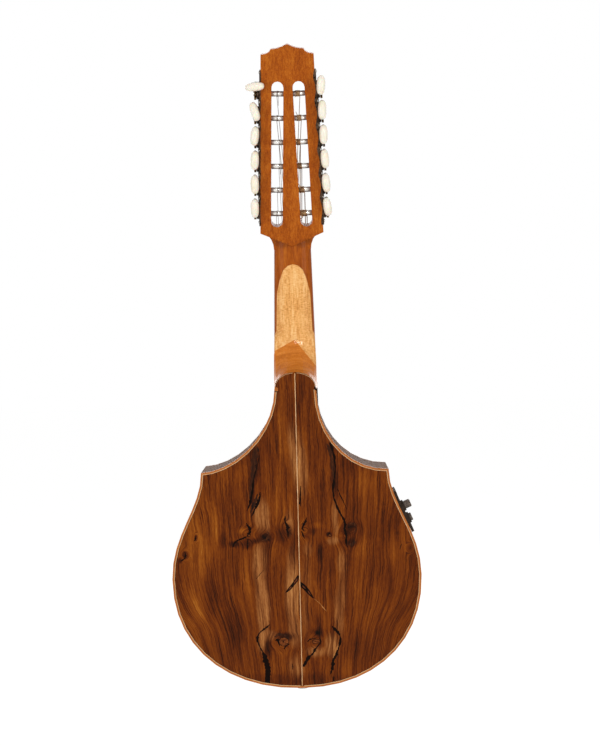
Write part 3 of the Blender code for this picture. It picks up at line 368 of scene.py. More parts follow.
@dataclass(frozen=True)
class Graph:
    """A node tree, with one function that adds a node and short forms of it for the common kinds."""

    tree: bpy.types.NodeTree

    def add(
        self,
        kind: str,
        inputs: Optional[dict[Any, Any]] = None,
        stops: Sequence[tuple[float, str]] = (),
        **settings: Any,
    ) -> bpy.types.Node:
        """Adds one node with its settings, values and links.

        Args:
            kind: The node's type, without the leading word Shader Node.
            inputs: Values or output sockets, by input name or number.
            stops: Places and colours of a colour ramp.
            settings: The node's own settings, by name.

        Returns:
            The new node.
        """
        node = self.tree.nodes.new("ShaderNode" + kind)
        for name, value in settings.items():
            setattr(node, name, value)
        for key, value in (inputs or {}).items():
            if isinstance(value, Socket):
                self.tree.links.new(value, node.inputs[key])
            else:
                node.inputs[key].default_value = value
        if stops:
            ramp = node.color_ramp.elements
            while len(ramp) < len(stops):
                ramp.new(1.0)
            for element, (place, colour) in zip(ramp, stops):
                element.position = place
                element.color = linear(colour)
        return node

    def math(self, operation: str, *values: Any, clamp: bool = False) -> Socket:
        """A number worked out from others."""
        inputs = dict(enumerate(values))
        return self.add("Math", inputs, operation=operation, use_clamp=clamp).outputs[0]

    def vector(self, operation: str, *values: Any, output: str = "Vector") -> Socket:
        """A vector worked out from others, or a number where the output is Value."""
        inputs = dict(enumerate(values))
        return self.add("VectorMath", inputs, operation=operation).outputs[output]

    def spread(self, value: Any, near: Flat, to: Flat = (0.0, 1.0), kind: str = "LINEAR") -> Socket:
        """A value mapped from one range to another."""
        inputs = dict(zip(("Value", "From Min", "From Max", "To Min", "To Max"), (value, *near, *to)))
        return self.add("MapRange", inputs, interpolation_type=kind).outputs[0]

    def ramp(self, value: Any, *stops: tuple[float, str]) -> Socket:
        """A value turned into a colour."""
        return self.add("ValToRGB", {"Fac": value}, stops).outputs["Color"]

    def mixed(self, share: Any, below: Any, above: Any) -> Socket:
        """One colour turning into another by a share."""
        return self.add("Mix", {"Factor": share, 6: below, 7: above}, data_type="RGBA").outputs[2]

    def place(self) -> Socket:
        """The place in the piece's own space, in metres."""
        return self.add("TexCoord").outputs["Object"]

    def raised(self, height: Any, depth_mm: float) -> Socket:
        """A small relief, as a normal."""
        inputs = {"Height": height, "Strength": 0.6, "Distance": depth_mm * MM}
        return self.add("Bump", inputs).outputs[0]

    def layer(self, place: Any, size_mm: Place, detail: float = 2.0, shift: float = 0.0) -> Socket:
        """One layer of a natural pattern, worked out from its real size.

        Args:
            place: The place in metres.
            size_mm: The pattern's size along X, Y and Z, in millimetres.
            detail: How many finer layers it holds.
            shift: Moves the pattern, so that two layers differ.

        Returns:
            A value from 0 to 1, mostly near a half.
        """
        scale = tuple(1 / (s * MM) for s in size_mm)
        vector = self.vector("MULTIPLY_ADD", place, scale, (shift, shift, shift))
        inputs = {"Vector": vector, "Scale": 1.0, "Detail": detail, "Roughness": 0.55}
        return self.add("TexNoise", inputs).outputs[0]

    def weighed(self, *layers: tuple[Any, float]) -> Any:
        """A half and layers round a half, added up by their strengths.

        Args:
            layers: Pairs of a value and its strength.

        Returns:
            The sum.
        """
        total = 0.5
        for layer, strength in layers:
            shifted = self.math("MULTIPLY_ADD", layer, strength, -0.5 * strength)
            total = self.math("ADD", shifted, total)
        return total

    def steepened(self, colour: Any, steep: Any, power: float, share: float, edge: str) -> Socket:
        """A colour darkened as painted shade on steep surfaces, nearer the very side with a higher
        power.
        """
        amount = self.math("MULTIPLY", self.math("POWER", steep, power), share, clamp=True)
        return self.mixed(amount, colour, linear(edge))

    def sideways(self, way: Place) -> Socket:
        """How far the surface turns away from the way that its piece's broad face looks.

        Args:
            way: The broad face's way, in the piece's own space.

        Returns:
            A value from 0 on the broad face to 1 on its sides.
        """
        normal = self.add("TexCoord").outputs["Normal"]
        broad = self.math("ABSOLUTE", self.vector("DOT_PRODUCT", normal, way, output="Value"))
        return self.math("SUBTRACT", 1.0, broad, clamp=True)

    def nearness(self, place: Any, spot: Spot) -> Socket:
        """How near a place is to a spot: 1 at its middle and 0 past its edge.

        Args:
            place: The place in metres.
            spot: The oval place.

        Returns:
            The share, from 0 to 1.
        """
        middle = (spot.x_mm * MM, 0.0, spot.z_mm * MM)
        shares = (1 / (spot.half_x_mm * MM), 0.0, 1 / (spot.half_z_mm * MM))
        away = self.vector("MULTIPLY", self.vector("SUBTRACT", place, middle), shares)
        reach = self.vector("LENGTH", away, output="Value")
        return self.spread(reach, (1.35, 0.1), kind="SMOOTHSTEP")

    def looked_at(self) -> Socket:
        """1 for rays that show a surface, from the camera or a gloss, and 0 for rays that it lights.

        Returns:
            The share, 0 or 1.
        """
        rays = self.add("LightPath").outputs
        seen = rays["Is Camera Ray"]
        for ray in ("Is Glossy Ray", "Is Transmission Ray"):
            seen = self.math("MAXIMUM", seen, rays[ray])
        return seen


@dataclass(frozen=True)
class Finish:
    """What every finish has: a name, and a material that is made once."""

    name: str

    def material(self) -> bpy.types.Material:
        """The finish's material, made when it is first asked for.

        Returns:
            The material, made once and then shared.
        """
        made = bpy.data.materials.get(self.name)
        if made is None:
            made = bpy.data.materials.new(self.name)
            made.use_nodes = True
            made.node_tree.nodes.clear()
            graph = Graph(made.node_tree)
            graph.add("OutputMaterial", {"Surface": self.paint(graph).outputs[0]})
        return made

    def paint(self, graph: Graph) -> bpy.types.Node:
        """Adds the finish's nodes and returns its shader."""
        raise NotImplementedError


@dataclass(frozen=True)
class Wood(Finish):
    """Planed and lacquered wood with bands, streaks and open pores along its grain."""

    dark: str
    middle: str
    light: str
    along: Along
    band_mm: float
    streak_mm: float
    pore_mm: float
    length_mm: float
    contrast: float
    fleck: float
    gloss: float
    coat: float
    # How strongly painted shade darkens the colour where the surface turns away from the back.
    edge: float = 0.0
    # Spots of painted shade in carved recesses, and that shade's colour.
    shade_spots: tuple[Spot, ...] = ()
    hollow_colour: str = "#4A1C04"
    # Strengths of the bands, streaks and pores, and the flecks' size across and along the grain.
    strengths: ClassVar[Place] = (0.9, 1.0, 0.9)
    fleck_mm: ClassVar[Flat] = (3.2, 1.1)

    def size(self, across_mm: float, length_mm: float) -> Place:
        """The size of a layer of the grain along X, Y and Z."""
        return tuple(length_mm + (across_mm - length_mm) * share for share in self.along.value)

    def paint(self, graph: Graph) -> bpy.types.Node:
        """Bands and streaks in the colour, pores in the colour and relief, painted shade where it has
        any.

        Args:
            graph: The material's nodes.

        Returns:
            The shader node.
        """
        place = graph.place()
        bands = graph.layer(place, self.size(self.band_mm, self.length_mm), 3.0)
        streaks = graph.layer(place, self.size(self.streak_mm, self.length_mm * 0.5), 3.0, 7.0)
        pores = graph.layer(place, self.size(self.pore_mm, self.pore_mm * 14), 1.0, 3.0)
        flecks = graph.layer(place, self.size(*self.fleck_mm), 2.0, 11.0)
        layers = zip((bands, streaks, pores), (self.contrast * s for s in self.strengths))
        value = graph.weighed(*layers, (flecks, self.fleck))
        colour = graph.ramp(value, (0.12, self.dark), (0.5, self.middle), (0.9, self.light))
        # Painted shade: darker where the surface turns away from the piece's back.
        if self.edge:
            colour = graph.steepened(colour, graph.sideways(BACK_WAY), PAINTED_DARK_SIDES_POWER, self.edge, self.dark)
        # Painted shade in the carved recesses under the head's shoulders.
        for shade_spot in self.shade_spots:
            near = graph.math("MULTIPLY", graph.nearness(place, shade_spot), shade_spot.amount)
            colour = graph.mixed(near, colour, linear(self.hollow_colour))
        inputs = {
            "Base Color": colour,
            "Roughness": graph.spread(pores, (0.0, 1.0), (self.gloss + 0.1, self.gloss - 0.1)),
            "Normal": graph.raised(pores, 0.05),
            "IOR": 1.5,
            "Specular IOR Level": 0.06,
            "Coat Weight": self.coat,
            "Coat Roughness": 0.07,
        }
        return graph.add("BsdfPrincipled", inputs)


@dataclass(frozen=True)
class Scarfed(Finish):
    """Two woods that meet in slanting glue joints.

    Each joint falls from the middle: by how much for each part away from it, for each part to the
    right, for each part of depth, and its height at the middle.
    """

    above: Wood
    below: Wood
    joints: tuple[tuple[float, float, float, float], ...]

    def paint(self, graph: Graph) -> bpy.types.Node:
        """Both woods, the first one above any of the joints.

        Args:
            graph: The material's nodes.

        Returns:
            The shader node.
        """
        place = graph.place()
        out = graph.math("ABSOLUTE", graph.add("SeparateXYZ", {0: place}).outputs["X"])
        share = 0.0
        for away, right, depth, level in self.joints:
            lean = graph.vector("DOT_PRODUCT", place, (right, depth, 1.0), output="Value")
            height = graph.math("MULTIPLY_ADD", out, away, lean)
            soft = 0.0002 * math.hypot(1.0, depth)
            share = graph.math("MAXIMUM", graph.spread(height, (level - soft, level + soft)), share)
        lower, upper = self.below.paint(graph), self.above.paint(graph)
        return graph.add("MixShader", {0: share, 1: lower.outputs[0], 2: upper.outputs[0]})


@dataclass(frozen=True)
class BookmatchedWalnut(Finish):
    """Two matched walnut leaves, scraped and lacquered, with knots that the grain runs round.

    Tones darken or warm the wood, pales turn it to greyish sapwood, and round each knot the grain
    parts and closes into rings.
    """

    tones: tuple[Spot, ...]
    pales: tuple[Spot, ...]
    knots: tuple[Spot, ...]
    heart_stops: ClassVar[tuple[tuple[float, str], ...]] = (
        (0.0, "#120500"), (0.22, "#351302"), (0.42, "#592404"), (0.60, "#773808"), (0.80, "#945012"),
        (1.0, "#B27028"),
    )
    sap_stops: ClassVar[tuple[tuple[float, str], ...]] = (
        (0.15, "#54280E"), (0.42, "#93572A"), (0.62, "#B87C44"), (0.9, "#D09C5E"),
    )
    # How fine the grain's wavering is, and how far it goes across and along.
    wavers: ClassVar[tuple[Place, ...]] = ((22.0, 0.007, 0.010), (160.0, 0.0016, 0.003))
    # Where the grain starts and stops drawing in, and how hard it does, from the tail upwards.
    draw_z: ClassVar[Flat] = (-0.500, -0.200)
    draw: ClassVar[tuple[Flat, ...]] = (
        (0.0, 0.74), (1.0, 0.0), (0.04, 0.70), (0.19, 0.48), (0.37, 0.16), (0.60, 0.10), (0.83, 0.03),
    )

    def sum_of(self, graph: Graph, place: Any, spots: Sequence[Spot], total: Any) -> Any:
        """The strengths of all spots at a place, added to a value.

        Args:
            graph: The material's nodes.
            place: The point on the leaf.
            spots: The oval places.
            total: The value to start from.

        Returns:
            The value with all of them in it.
        """
        for spot in spots:
            total = graph.math("MULTIPLY_ADD", graph.nearness(place, spot), spot.amount, total)
        return total

    def grain_place(self, graph: Graph, place: Any) -> Socket:
        """The place in the tree that a point of the leaf came from, with the grain run straight.

        The leaves bulge at the body's widest part and draw in to the seam below it, and they part
        round each knot.

        Args:
            graph: The material's nodes.
            place: The point on the leaf.

        Returns:
            The point's place in straight grain.
        """
        x, y, z = graph.add("SeparateXYZ", {0: place}).outputs
        curve = graph.add("FloatCurve", {"Value": graph.spread(z, self.draw_z)})
        line = curve.mapping.curves[0]
        line.points[0].location, line.points[1].location = self.draw[:2]
        for at in self.draw[2:]:
            line.points.new(*at)
        curve.mapping.update()
        pull = graph.math("MULTIPLY", curve.outputs[0], graph.math("ABSOLUTE", x))
        pull = graph.math("ADD", graph.math("MULTIPLY", pull, 10.0), 1.0)
        across = graph.math("MULTIPLY", x, pull)
        for knot in self.knots:
            near = graph.nearness(place, knot)
            push = graph.math("MULTIPLY", graph.math("SUBTRACT", knot.x_mm * MM, x), near)
            across = graph.math("MULTIPLY_ADD", push, knot.amount, across)
            middle = (knot.x_mm * MM, BACK_Y, knot.z_mm * MM)
            radius = graph.vector("DISTANCE", place, middle, output="Value")
            tight = graph.math("POWER", near, 3.0)
            ring = graph.math("ADD", radius, knot.x_mm * MM)
            across = graph.add("Mix", {"Factor": tight, 2: across, 3: ring}).outputs[0]
        return graph.add("CombineXYZ", {"X": across, "Y": y, "Z": z}).outputs[0]

    def paint(self, graph: Graph) -> bpy.types.Node:
        """Bands, streaks and hair lines along the bent grain, with dark and pale places.

        Args:
            graph: The material's nodes.

        Returns:
            The shader node.
        """
        place = graph.place()
        loose = place
        for scale, wide, high in self.wavers:
            waver = {"Vector": place, "Scale": scale, "Detail": 2.0}
            waver = graph.vector("SUBTRACT", graph.add("TexNoise", waver).outputs["Color"], (0.5,) * 3)
            loose = graph.vector("MULTIPLY_ADD", waver, (wide, 0.0, high), loose)
        grain = self.grain_place(graph, loose)
        bands = graph.layer(grain, (17.0, 60.0, 90.0), 2.0)
        streaks = graph.layer(grain, (3.6, 60.0, 60.0), 3.0, 4.0)
        lines = graph.layer(grain, (1.3, 30.0, 45.0), 2.0, 9.0)
        pores = graph.layer(grain, (0.45, 5.0, 5.0), 1.0, 2.0)
        value = graph.weighed((bands, 0.62), (streaks, 0.55), (lines, 0.46), (pores, 0.42))
        dark = graph.spread(lines, (0.44, 0.30), (0.0, -0.16), "SMOOTHSTEP")
        value = self.sum_of(graph, loose, self.tones, graph.math("ADD", value, dark))
        pale = self.sum_of(graph, loose, self.pales, 0.0)
        heart, sap = graph.ramp(value, *self.heart_stops), graph.ramp(value, *self.sap_stops)
        uneven = graph.math("MULTIPLY", streaks, 2.9)
        share = graph.math("MULTIPLY", pale, uneven, clamp=True)
        colour = graph.mixed(graph.math("MULTIPLY", share, 0.92), heart, sap)
        inputs = {
            "Base Color": colour,
            "Roughness": 0.4,
            "Normal": graph.raised(pores, 0.03),
            "IOR": 1.5,
            "Specular IOR Level": 0.04,
            "Coat Weight": 0.06,
            "Coat Roughness": 0.12,
        }
        return graph.add("BsdfPrincipled", inputs)


@dataclass(frozen=True)
class Metal(Finish):
    """Turned or rolled metal with drawn-out scratches and tarnish in patches.

    At a grazing angle its colour turns darker: a painted dark reflection of what stands beside it.
    """

    bright: str
    dull: str
    roughness: float
    patch_mm: float = 6.0
    scratch_mm: float = 0.25
    # How strongly a painted dark reflection darkens it at grazing angles, and that reflection's colour.
    edge: float = 0.0
    edge_colour: str = "#2A1C12"
    metallic: float = 1.0

    def paint(self, graph: Graph) -> bpy.types.Node:
        """Tarnish in colour and roughness, a painted dark reflection at its edges, scratches in relief.

        Args:
            graph: The material's nodes.

        Returns:
            The shader node.
        """
        place = graph.place()
        patches = graph.layer(place, (self.patch_mm,) * 3, 4.0)
        size = (self.scratch_mm, self.scratch_mm, self.scratch_mm * 12)
        scratches = graph.layer(place, size, 1.0, 5.0)
        value = graph.weighed((patches, 2.2), (scratches, 0.5))
        colour = graph.ramp(value, (0.15, self.dull), (0.75, self.bright))
        # Painted dark reflection: darker at grazing angles.
        if self.edge:
            facing = graph.add("LayerWeight", {"Blend": 0.5}).outputs["Facing"]
            colour = graph.steepened(colour, facing, PAINTED_DARK_SIDES_POWER, self.edge, self.edge_colour)
        inputs = {
            "Base Color": colour,
            "Metallic": self.metallic,
            "Roughness": graph.spread(value, (0.0, 1.0), (self.roughness + 0.14, self.roughness - 0.06)),
            "Normal": graph.raised(scratches, 0.01),
        }
        return graph.add("BsdfPrincipled", inputs)


@dataclass(frozen=True)
class Moulded(Finish):
    """A smooth dense material, moulded or polished: plastic, bone, pearl, filler or rubber."""

    body: str
    cloud: str
    roughness: float
    patch_mm: float
    grit_mm: float
    soft: float = 0.0
    relief_mm: float = 0.01
    shine: float = 0.5
    # How strongly painted shade darkens its rim, where it turns away from the head's back, and that
    # shade's colour.
    rim: float = 0.0
    rim_colour: str = "#5C4634"

    def paint(self, graph: Graph) -> bpy.types.Node:
        """Faint clouds in the colour, painted shade round a rim, and a fine orange peel in the relief.

        Args:
            graph: The material's nodes.

        Returns:
            The shader node.
        """
        place = graph.place()
        clouds = graph.layer(place, (self.patch_mm,) * 3, 3.0)
        grit = graph.layer(place, (self.grit_mm,) * 3, 2.0, 5.0)
        value = graph.weighed((clouds, 2.0), (grit, 0.4))
        colour = graph.mixed(value, linear(self.cloud), linear(self.body))
        # Painted shade round the rim.
        if self.rim:
            steep = graph.sideways(HEAD_WAY)
            colour = graph.steepened(colour, steep, PAINTED_RIM_SHADE_POWER, self.rim, self.rim_colour)
        inputs = {
            "Base Color": colour,
            "Roughness": graph.spread(grit, (0.0, 1.0), (self.roughness - 0.06, self.roughness + 0.06)),
            "Normal": graph.raised(grit, self.relief_mm),
            "IOR": 1.5,
            "Specular IOR Level": self.shine,
            "Subsurface Weight": self.soft,
            "Subsurface Scale": 0.002,
        }
        return graph.add("BsdfPrincipled", inputs)


@dataclass(frozen=True)
class WoundWire(Finish):
    """A steel string, drawn bright, or wrapped with fine wire.

    The wrap is 0.25 mm in life. It is drawn three times as coarse, so that it shows.
    """

    colour: str
    tarnish: str
    depth_mm: float
    wrap_mm: float = 0.75
    # The length of one turn of the wave texture, in its own units.
    wave_turn: ClassVar[float] = 6.283

    def paint(self, graph: Graph) -> bpy.types.Node:
        """Turns of wrap in the relief, a little tarnish in the colour.

        Args:
            graph: The material's nodes.

        Returns:
            The shader node.
        """
        place = graph.place()
        inputs = {"Vector": place, "Scale": 1 / (self.wrap_mm * MM) / self.wave_turn}
        turns = graph.add("TexWave", inputs, bands_direction="Z").outputs["Fac"]
        tarnish = graph.layer(place, (3.0, 3.0, 20.0))
        inputs = {
            "Base Color": graph.mixed(tarnish, linear(self.tarnish), linear(self.colour)),
            "Metallic": 0.75,
            "Roughness": 0.32,
            "Normal": graph.raised(turns, self.depth_mm),
        }
        return graph.add("BsdfPrincipled", inputs)


@dataclass(frozen=True)
class LitPaper(Finish):
    """White matt paper, lit so that it nearly vanishes and still keeps a shadow."""

    colour: str
    glow: float
    share: float

    def paint(self, graph: Graph) -> bpy.types.Node:
        """Matt paper with a glow where it is looked at.

        Args:
            graph: The material's nodes.

        Returns:
            The shader node.
        """
        matt = graph.add("BsdfDiffuse", {"Color": linear(self.colour)})
        glow = graph.add("Emission", {"Color": WHITE, "Strength": self.glow})
        share = graph.math("MULTIPLY", graph.looked_at(), self.share)
        return graph.add("MixShader", {0: share, 1: matt.outputs[0], 2: glow.outputs[0]})


# Soft places in the back's two leaves: across from the seam, up from the nut, half width, half
# height, all in millimetres, and strength.
TONES = (
    (-83.2, -334.1, 4.4, 10.8, -0.22), (-70.5, -339.3, 7.4, 3.7, -0.3),
    (-56.6, -339.6, 7.4, 5.9, -0.27), (-47.7, -336.9, 4.9, 3.9, -0.3), (-38.2, -333.1, 6.6, 5.9, -0.36),
    (-114.8, -331.9, 1.8, 3.4, -0.3), (-127.7, -350.5, 3.9, 5.4, -0.28),
    (-133.3, -356.8, 2.9, 3.9, -0.3), (-134.0, -382.7, 4.9, 24.6, -0.12),
    (-20.8, -330.5, 8.8, 11.8, -0.22), (-11.3, -325.8, 3.4, 8.8, -0.3), (-13.7, -443.3, 8.8, 5.4, -0.28),
    (-96.9, -403.5, 5.9, 24.6, -0.1), (-63.2, -325.1, 5.4, 3.9, 0.25),
    (-105.4, -352.5, 7.4, 21.6, 0.16), (-115.0, -413.1, 10.8, 21.6, 0.12),
    (-59.5, -374.4, 7.9, 24.6, 0.08), (-15.6, -360.5, 3.9, 19.6, 0.12),
    (22.6, -347.4, 4.9, 11.8, -0.25), (32.9, -329.2, 3.4, 2.9, -0.5), (15.2, -326.4, 5.9, 4.9, -0.15),
    (58.7, -321.4, 7.4, 4.4, -0.22), (53.7, -327.2, 5.9, 3.9, -0.2), (59.3, -338.3, 6.4, 5.4, -0.24),
    (122.8, -348.6, 4.4, 5.9, -0.15), (109.8, -332.0, 3.4, 2.9, -0.12),
    (97.8, -387.9, 5.9, 27.5, -0.12), (17.5, -440.0, 3.4, 2.8, -0.3), (20.7, -429.0, 5.9, 15.7, -0.15),
    (37.0, -363.6, 2.9, 19.6, -0.15), (69.1, -344.5, 10.8, 13.8, 0.14), (45.7, -332.0, 4.9, 5.9, 0.16),
    (103.4, -353.2, 7.9, 24.6, 0.1), (120.4, -393.3, 7.9, 24.6, 0.06), (20.3, -319.5, 10.8, 3.9, 0.12),
    (-46.4, -249.6, 4.4, 20.3, -0.34), (-50.1, -273.4, 3.9, 23.9, -0.3), (37.5, -233.8, 2.6, 8.7, -0.5),
    (40.9, -273.3, 3.5, 26.1, -0.25), (-10.0, -197.7, 9.8, 28.3, -0.12),
    (13.9, -198.3, 6.5, 28.3, -0.12), (-68.3, -259.8, 15.2, 13.0, 0.08),
    (-17.8, -245.6, 10.9, 32.6, 0.12), (68.8, -273.9, 17.4, 15.2, 0.12),
    (-68.4, -431.6, 19.6, 30.4, -0.14), (-22.6, -441.5, 12.0, 6.5, -0.2),
    (19.1, -439.1, 8.7, 5.4, -0.2), (60.4, -456.6, 21.7, 26.1, -0.14), (-36.1, -454.5, 4.8, 15.2, -0.3),
    (-10.7, -492.7, 82.6, 9.8, -0.15), (-14.0, -222.0, 9.0, 34.0, 0.12), (12.0, -205.0, 9.0, 28.0, 0.1),
    (-98.0, -322.0, 26.0, 30.0, 0.08), (-112.0, -376.0, 10.0, 30.0, 0.1),
    (84.0, -300.0, 18.0, 26.0, 0.06),
)
PALES = (
    (-43.4, -361.8, 7.9, 22.6, 0.7), (-41.5, -404.7, 7.4, 34.4, 1.0), (-41.0, -308.2, 8.4, 18.7, 0.65),
    (-34.9, -320.3, 2.9, 8.8, 0.5), (-8.1, -393.5, 7.4, 44.2, 0.8), (-10.6, -316.8, 4.9, 15.7, 0.3),
    (48.0, -361.9, 5.9, 16.7, 0.28), (48.3, -391.7, 5.4, 21.6, 0.25), (42.8, -418.5, 5.4, 27.5, 0.35),
    (37.7, -336.8, 6.9, 4.9, 0.4), (40.7, -312.0, 3.9, 19.6, 0.38), (7.0, -376.9, 6.4, 32.4, 0.1),
    (5.0, -420.7, 5.4, 22.6, 0.12), (9.8, -346.1, 5.9, 8.8, 0.15), (-0.2, -241.7, 8.3, 28.3, 0.4),
    (3.7, -261.5, 8.7, 28.3, 0.3), (-4.1, -224.1, 6.5, 19.6, 0.25), (-42.5, -447.7, 5.4, 13.0, 0.7),
    (-35.7, -441.2, 8.7, 6.5, 0.5), (-7.4, -437.8, 7.3, 17.0, 0.5), (34.2, -453.8, 7.6, 13.0, 0.6),
    (16.5, -460.0, 10.9, 6.5, 0.5), (-5.9, -477.3, 8.7, 13.0, 0.3),
)
KNOTS = (
    (-54.5, -329.2, 17.0, 12.0, 0.7), (-37.8, -331.1, 13.0, 12.0, 0.7),
    (-13.0, -322.0, 12.0, 14.0, 0.7), (6.0, -325.0, 11.0, 14.0, 0.7), (34.3, -331.8, 9.0, 8.0, 0.6),
    (60.2, -325.0, 14.0, 12.0, 0.6), (52.0, -331.0, 16.0, 18.0, 0.7), (-19.5, -449.5, 17.0, 13.0, 0.8),
    (17.1, -449.2, 15.0, 12.0, 0.8), (-127.0, -351.0, 9.0, 10.0, 0.6), (-114.8, -332.0, 5.0, 7.0, 0.6),
    (122.8, -348.4, 10.0, 10.0, 0.4),
)

# Walnut, scraped flat and lacquered: dark brown with orange light in the grain.
BACK_WALNUT = BookmatchedWalnut(
    "walnut_bookmatched", *(tuple(Spot(*row) for row in rows) for rows in (TONES, PALES, KNOTS))
)
# The same walnut, bent over heat and left matt: greyer, with straighter figure.
RIB_WALNUT = Wood(
    "walnut_bent", "#2E180A", "#553318", "#7C5028", Along.OUTLINE, 14.0, 3.0, 0.5, 90.0, 0.9, 0,
    0.62, 0.0,
)
# Mahogany, planed: even orange brown with short dark pores, and painted shade on its rounded
# sides and in the recesses that are carved under the head's shoulders.
SHOULDER_SHADE_SPOTS = ((-19.0, -4.5), (-11.0, -8.0), (10.5, -8.0), (18.5, -4.0))
MAHOGANY = Wood(
    "mahogany_planed", "#7E3604", "#A8520C", "#C87420", Along.LENGTH, 12.0, 1.5, 0.4, 60.0, 0.85, 0.15,
    0.38, 0.08, 0.75, tuple(Spot(x, z, 7.0, 3.6, 0.4) for x, z in SHOULDER_SHADE_SPOTS),
)
# Pale cedar, carved round: honey colour with a cross shimmer from the light in its fibres, and painted
# shade down its rounded sides.
CEDAR = Wood(
    "cedar_carved", "#C47C36", "#EFAF65", "#FFD394", Along.LENGTH, 7.0, 1.8, 0.6, 30.0, 0.75, 0.9,
    0.34, 0.07, 0.85,
)
# The heel's cedar, stacked: redder, because its end grain drinks more of the lacquer, with painted
# shade down its sides.
HEEL_CEDAR = Wood(
    "cedar_stacked", "#AA5A18", "#D27A2A", "#EC9A46", Along.WIDTH, 9.0, 2.4, 0.5, 60.0, 0.6, 0.3,
    0.3, 0.08, 0.5,
)
# The neck: pale cedar on the back, and mahogany in front of two slanting joints, which shows as a
# dark strip down both of its edges.
NECK = Scarfed(
    "cedar_with_mahogany_edges", MAHOGANY, CEDAR, ((0, 0, 7.17, -0.1358), (0, 0, 66.7, -0.749))
)
# The heel: the neck's pale cedar scarfed on to the redder stack.
HEEL = Scarfed("cedar_scarfed", CEDAR, HEEL_CEDAR, ((0.9, 0.37, 0, -0.1152),))
# Spruce, planed: narrow straight lines in pale straw under amber lacquer.
SPRUCE = Wood(
    "spruce_planed", "#BE8238", "#DDAA60", "#EBC384", Along.LENGTH, 14.0, 1.1, 0.4, 400.0, 0.8, 0.1,
    0.3, 0.3,
)
# The same spruce, sawn and left bare inside the body.
BARE_SPRUCE = Wood(
    "spruce_bare", "#C9A97A", "#DCC29A", "#EAD8B8", Along.WIDTH, 9.0, 1.4, 0.4, 120.0, 0.6, 0, 0.6, 0.0
)
# Maple, bent round the edge: even orange tan with a faint figure.
MAPLE = Wood(
    "maple_bent", "#94501C", "#B06730", "#C88042", Along.OUTLINE, 8.0, 1.4, 0.4, 50.0, 0.5, 0.1, 0.4, 0.1
)
# Maple, cut into thin strips and left in its own pale colour.
PALE_MAPLE = Wood(
    "maple_pale", "#B98653", "#D6A676", "#E8C496", Along.LENGTH, 5.0, 1.0, 0.4, 40.0, 0.8, 0.2, 0.4, 0.1
)
# Rosewood, oiled: near black with brown streaks and open pores.
ROSEWOOD = Wood(
    "rosewood_oiled", "#150B08", "#2C1811", "#4E2D1E", Along.LENGTH, 8.0, 1.5, 0.5, 120.0, 0.9, 0,
    0.42, 0.0,
)
# Resin and bark in the fissures: flat black that swallows light.
BLACK_FILL = Moulded("resin_filled", "#0A0402", "#160904", 0.7, 3.0, 0.5, shine=0.05)
# Walnut round a branch: end grain in a knot, dark and warm heartwood beside it, and pale sapwood.
KNOT_WOOD = Wood(
    "walnut_knot", "#2E1206", "#64300F", "#8E4D20", Along.WIDTH, 3.0, 1.0, 0.4, 5.0, 1.2, 0.2, 0.4, 0.05
)
DARK_HEART = Wood(
    "walnut_dark_heart", "#160802", "#321505", "#552A0E", Along.LENGTH, 3.0, 1.1, 0.4, 40.0, 1.2, 0,
    0.4, 0.05,
)
HEART_WOOD = Wood(
    "walnut_heart", "#3A1808", "#602C10", "#86481E", Along.LENGTH, 3.0, 0.9, 0.4, 9.0, 1.0, 0.2, 0.4, 0.1
)
LIGHT_LEAF = Wood(
    "walnut_sapwood", "#7A4420", "#A0652F", "#C08450", Along.LENGTH, 3.0, 0.9, 0.4, 20.0, 0.8, 0.1,
    0.4, 0.1,
)
# Bone, sawn and polished: warm white with faint clouds.
BONE = Moulded("bone_polished", "#F1E8D2", "#DECFAE", 0.28, 6.0, 0.3, 0.1)
# Mother of pearl, ground flat and polished: cool white with small clouds.
PEARL = Moulded("pearl_polished", "#F2F0EA", "#C9D2D0", 0.2, 2.5, 0.3, 0.1)
# Urea plastic, moulded: creamy white with light that sinks in, and painted shade round its rim.
IVORY_PLASTIC = Moulded("ivory_moulded", "#FCF6EA", "#F6EAD0", 0.22, 9.0, 0.5, 0.15, rim=0.9)
# ABS, moulded with a fine spark texture and dusty from use: brownish black.
BLACK_PLASTIC = Moulded("abs_moulded", "#2F241D", "#4C4036", 0.6, 3.0, 0.5, 0.0, 0.02, 0.06)
# The knobs' ABS: brownish black with pale clouds, painted highlights that stand in for the light on
# its ridges, and glossier than the panel.
KNOB_PLASTIC = Moulded("abs_rubbed", "#261C16", "#7A6859", 0.36, 1.4, 0.5, 0.0, 0.02, 0.3)
# Nickel on steel, polished: a white band where it faces the lamps, and dark sides that are a painted
# dark reflection.
NICKEL = Metal(
    "nickel_plated", "#F6F3EC", "#DDD7CD", 0.2, edge=1.7, edge_colour="#1C120B", metallic=0.75
)
# Nickel silver, drawn to fret wire: warm grey, worn bright by the strings.
FRET_WIRE = Metal("nickel_silver_drawn", "#D9D2C0", "#A89F8C", 0.25)
# Steel plates with worn brown lacquer: nearly black, bright only on the ridges, and darker at grazing
# angles as a painted dark reflection.
AGED_STEEL = Metal("steel_browned", "#5A483A", "#140D09", 0.34, 3.0, edge=0.6, edge_colour="#0E0805")
# Brass, cut and browned with age, and darker where it turns away from view, as between the teeth:
# a painted dark reflection.
BRASS = Metal("brass_browned", "#8B6A3C", "#3B2A17", 0.3, 4.0, edge=0.6, edge_colour="#1A1009")
# Steel, drawn bright, for the treble strings, and steel wrapped with bronze for the bass ones.
PLAIN_WIRE = WoundWire("steel_drawn", "#D8D5CF", "#8E8A84", 0.0)
WRAPPED_WIRE = WoundWire("bronze_wrapped", "#D6B184", "#9C7750", 0.02)
# Paper, matt: the floor under the instrument.
PAPER = LitPaper("paper_matt", "#F2F2F0", 1.14, 0.8)


# The body.


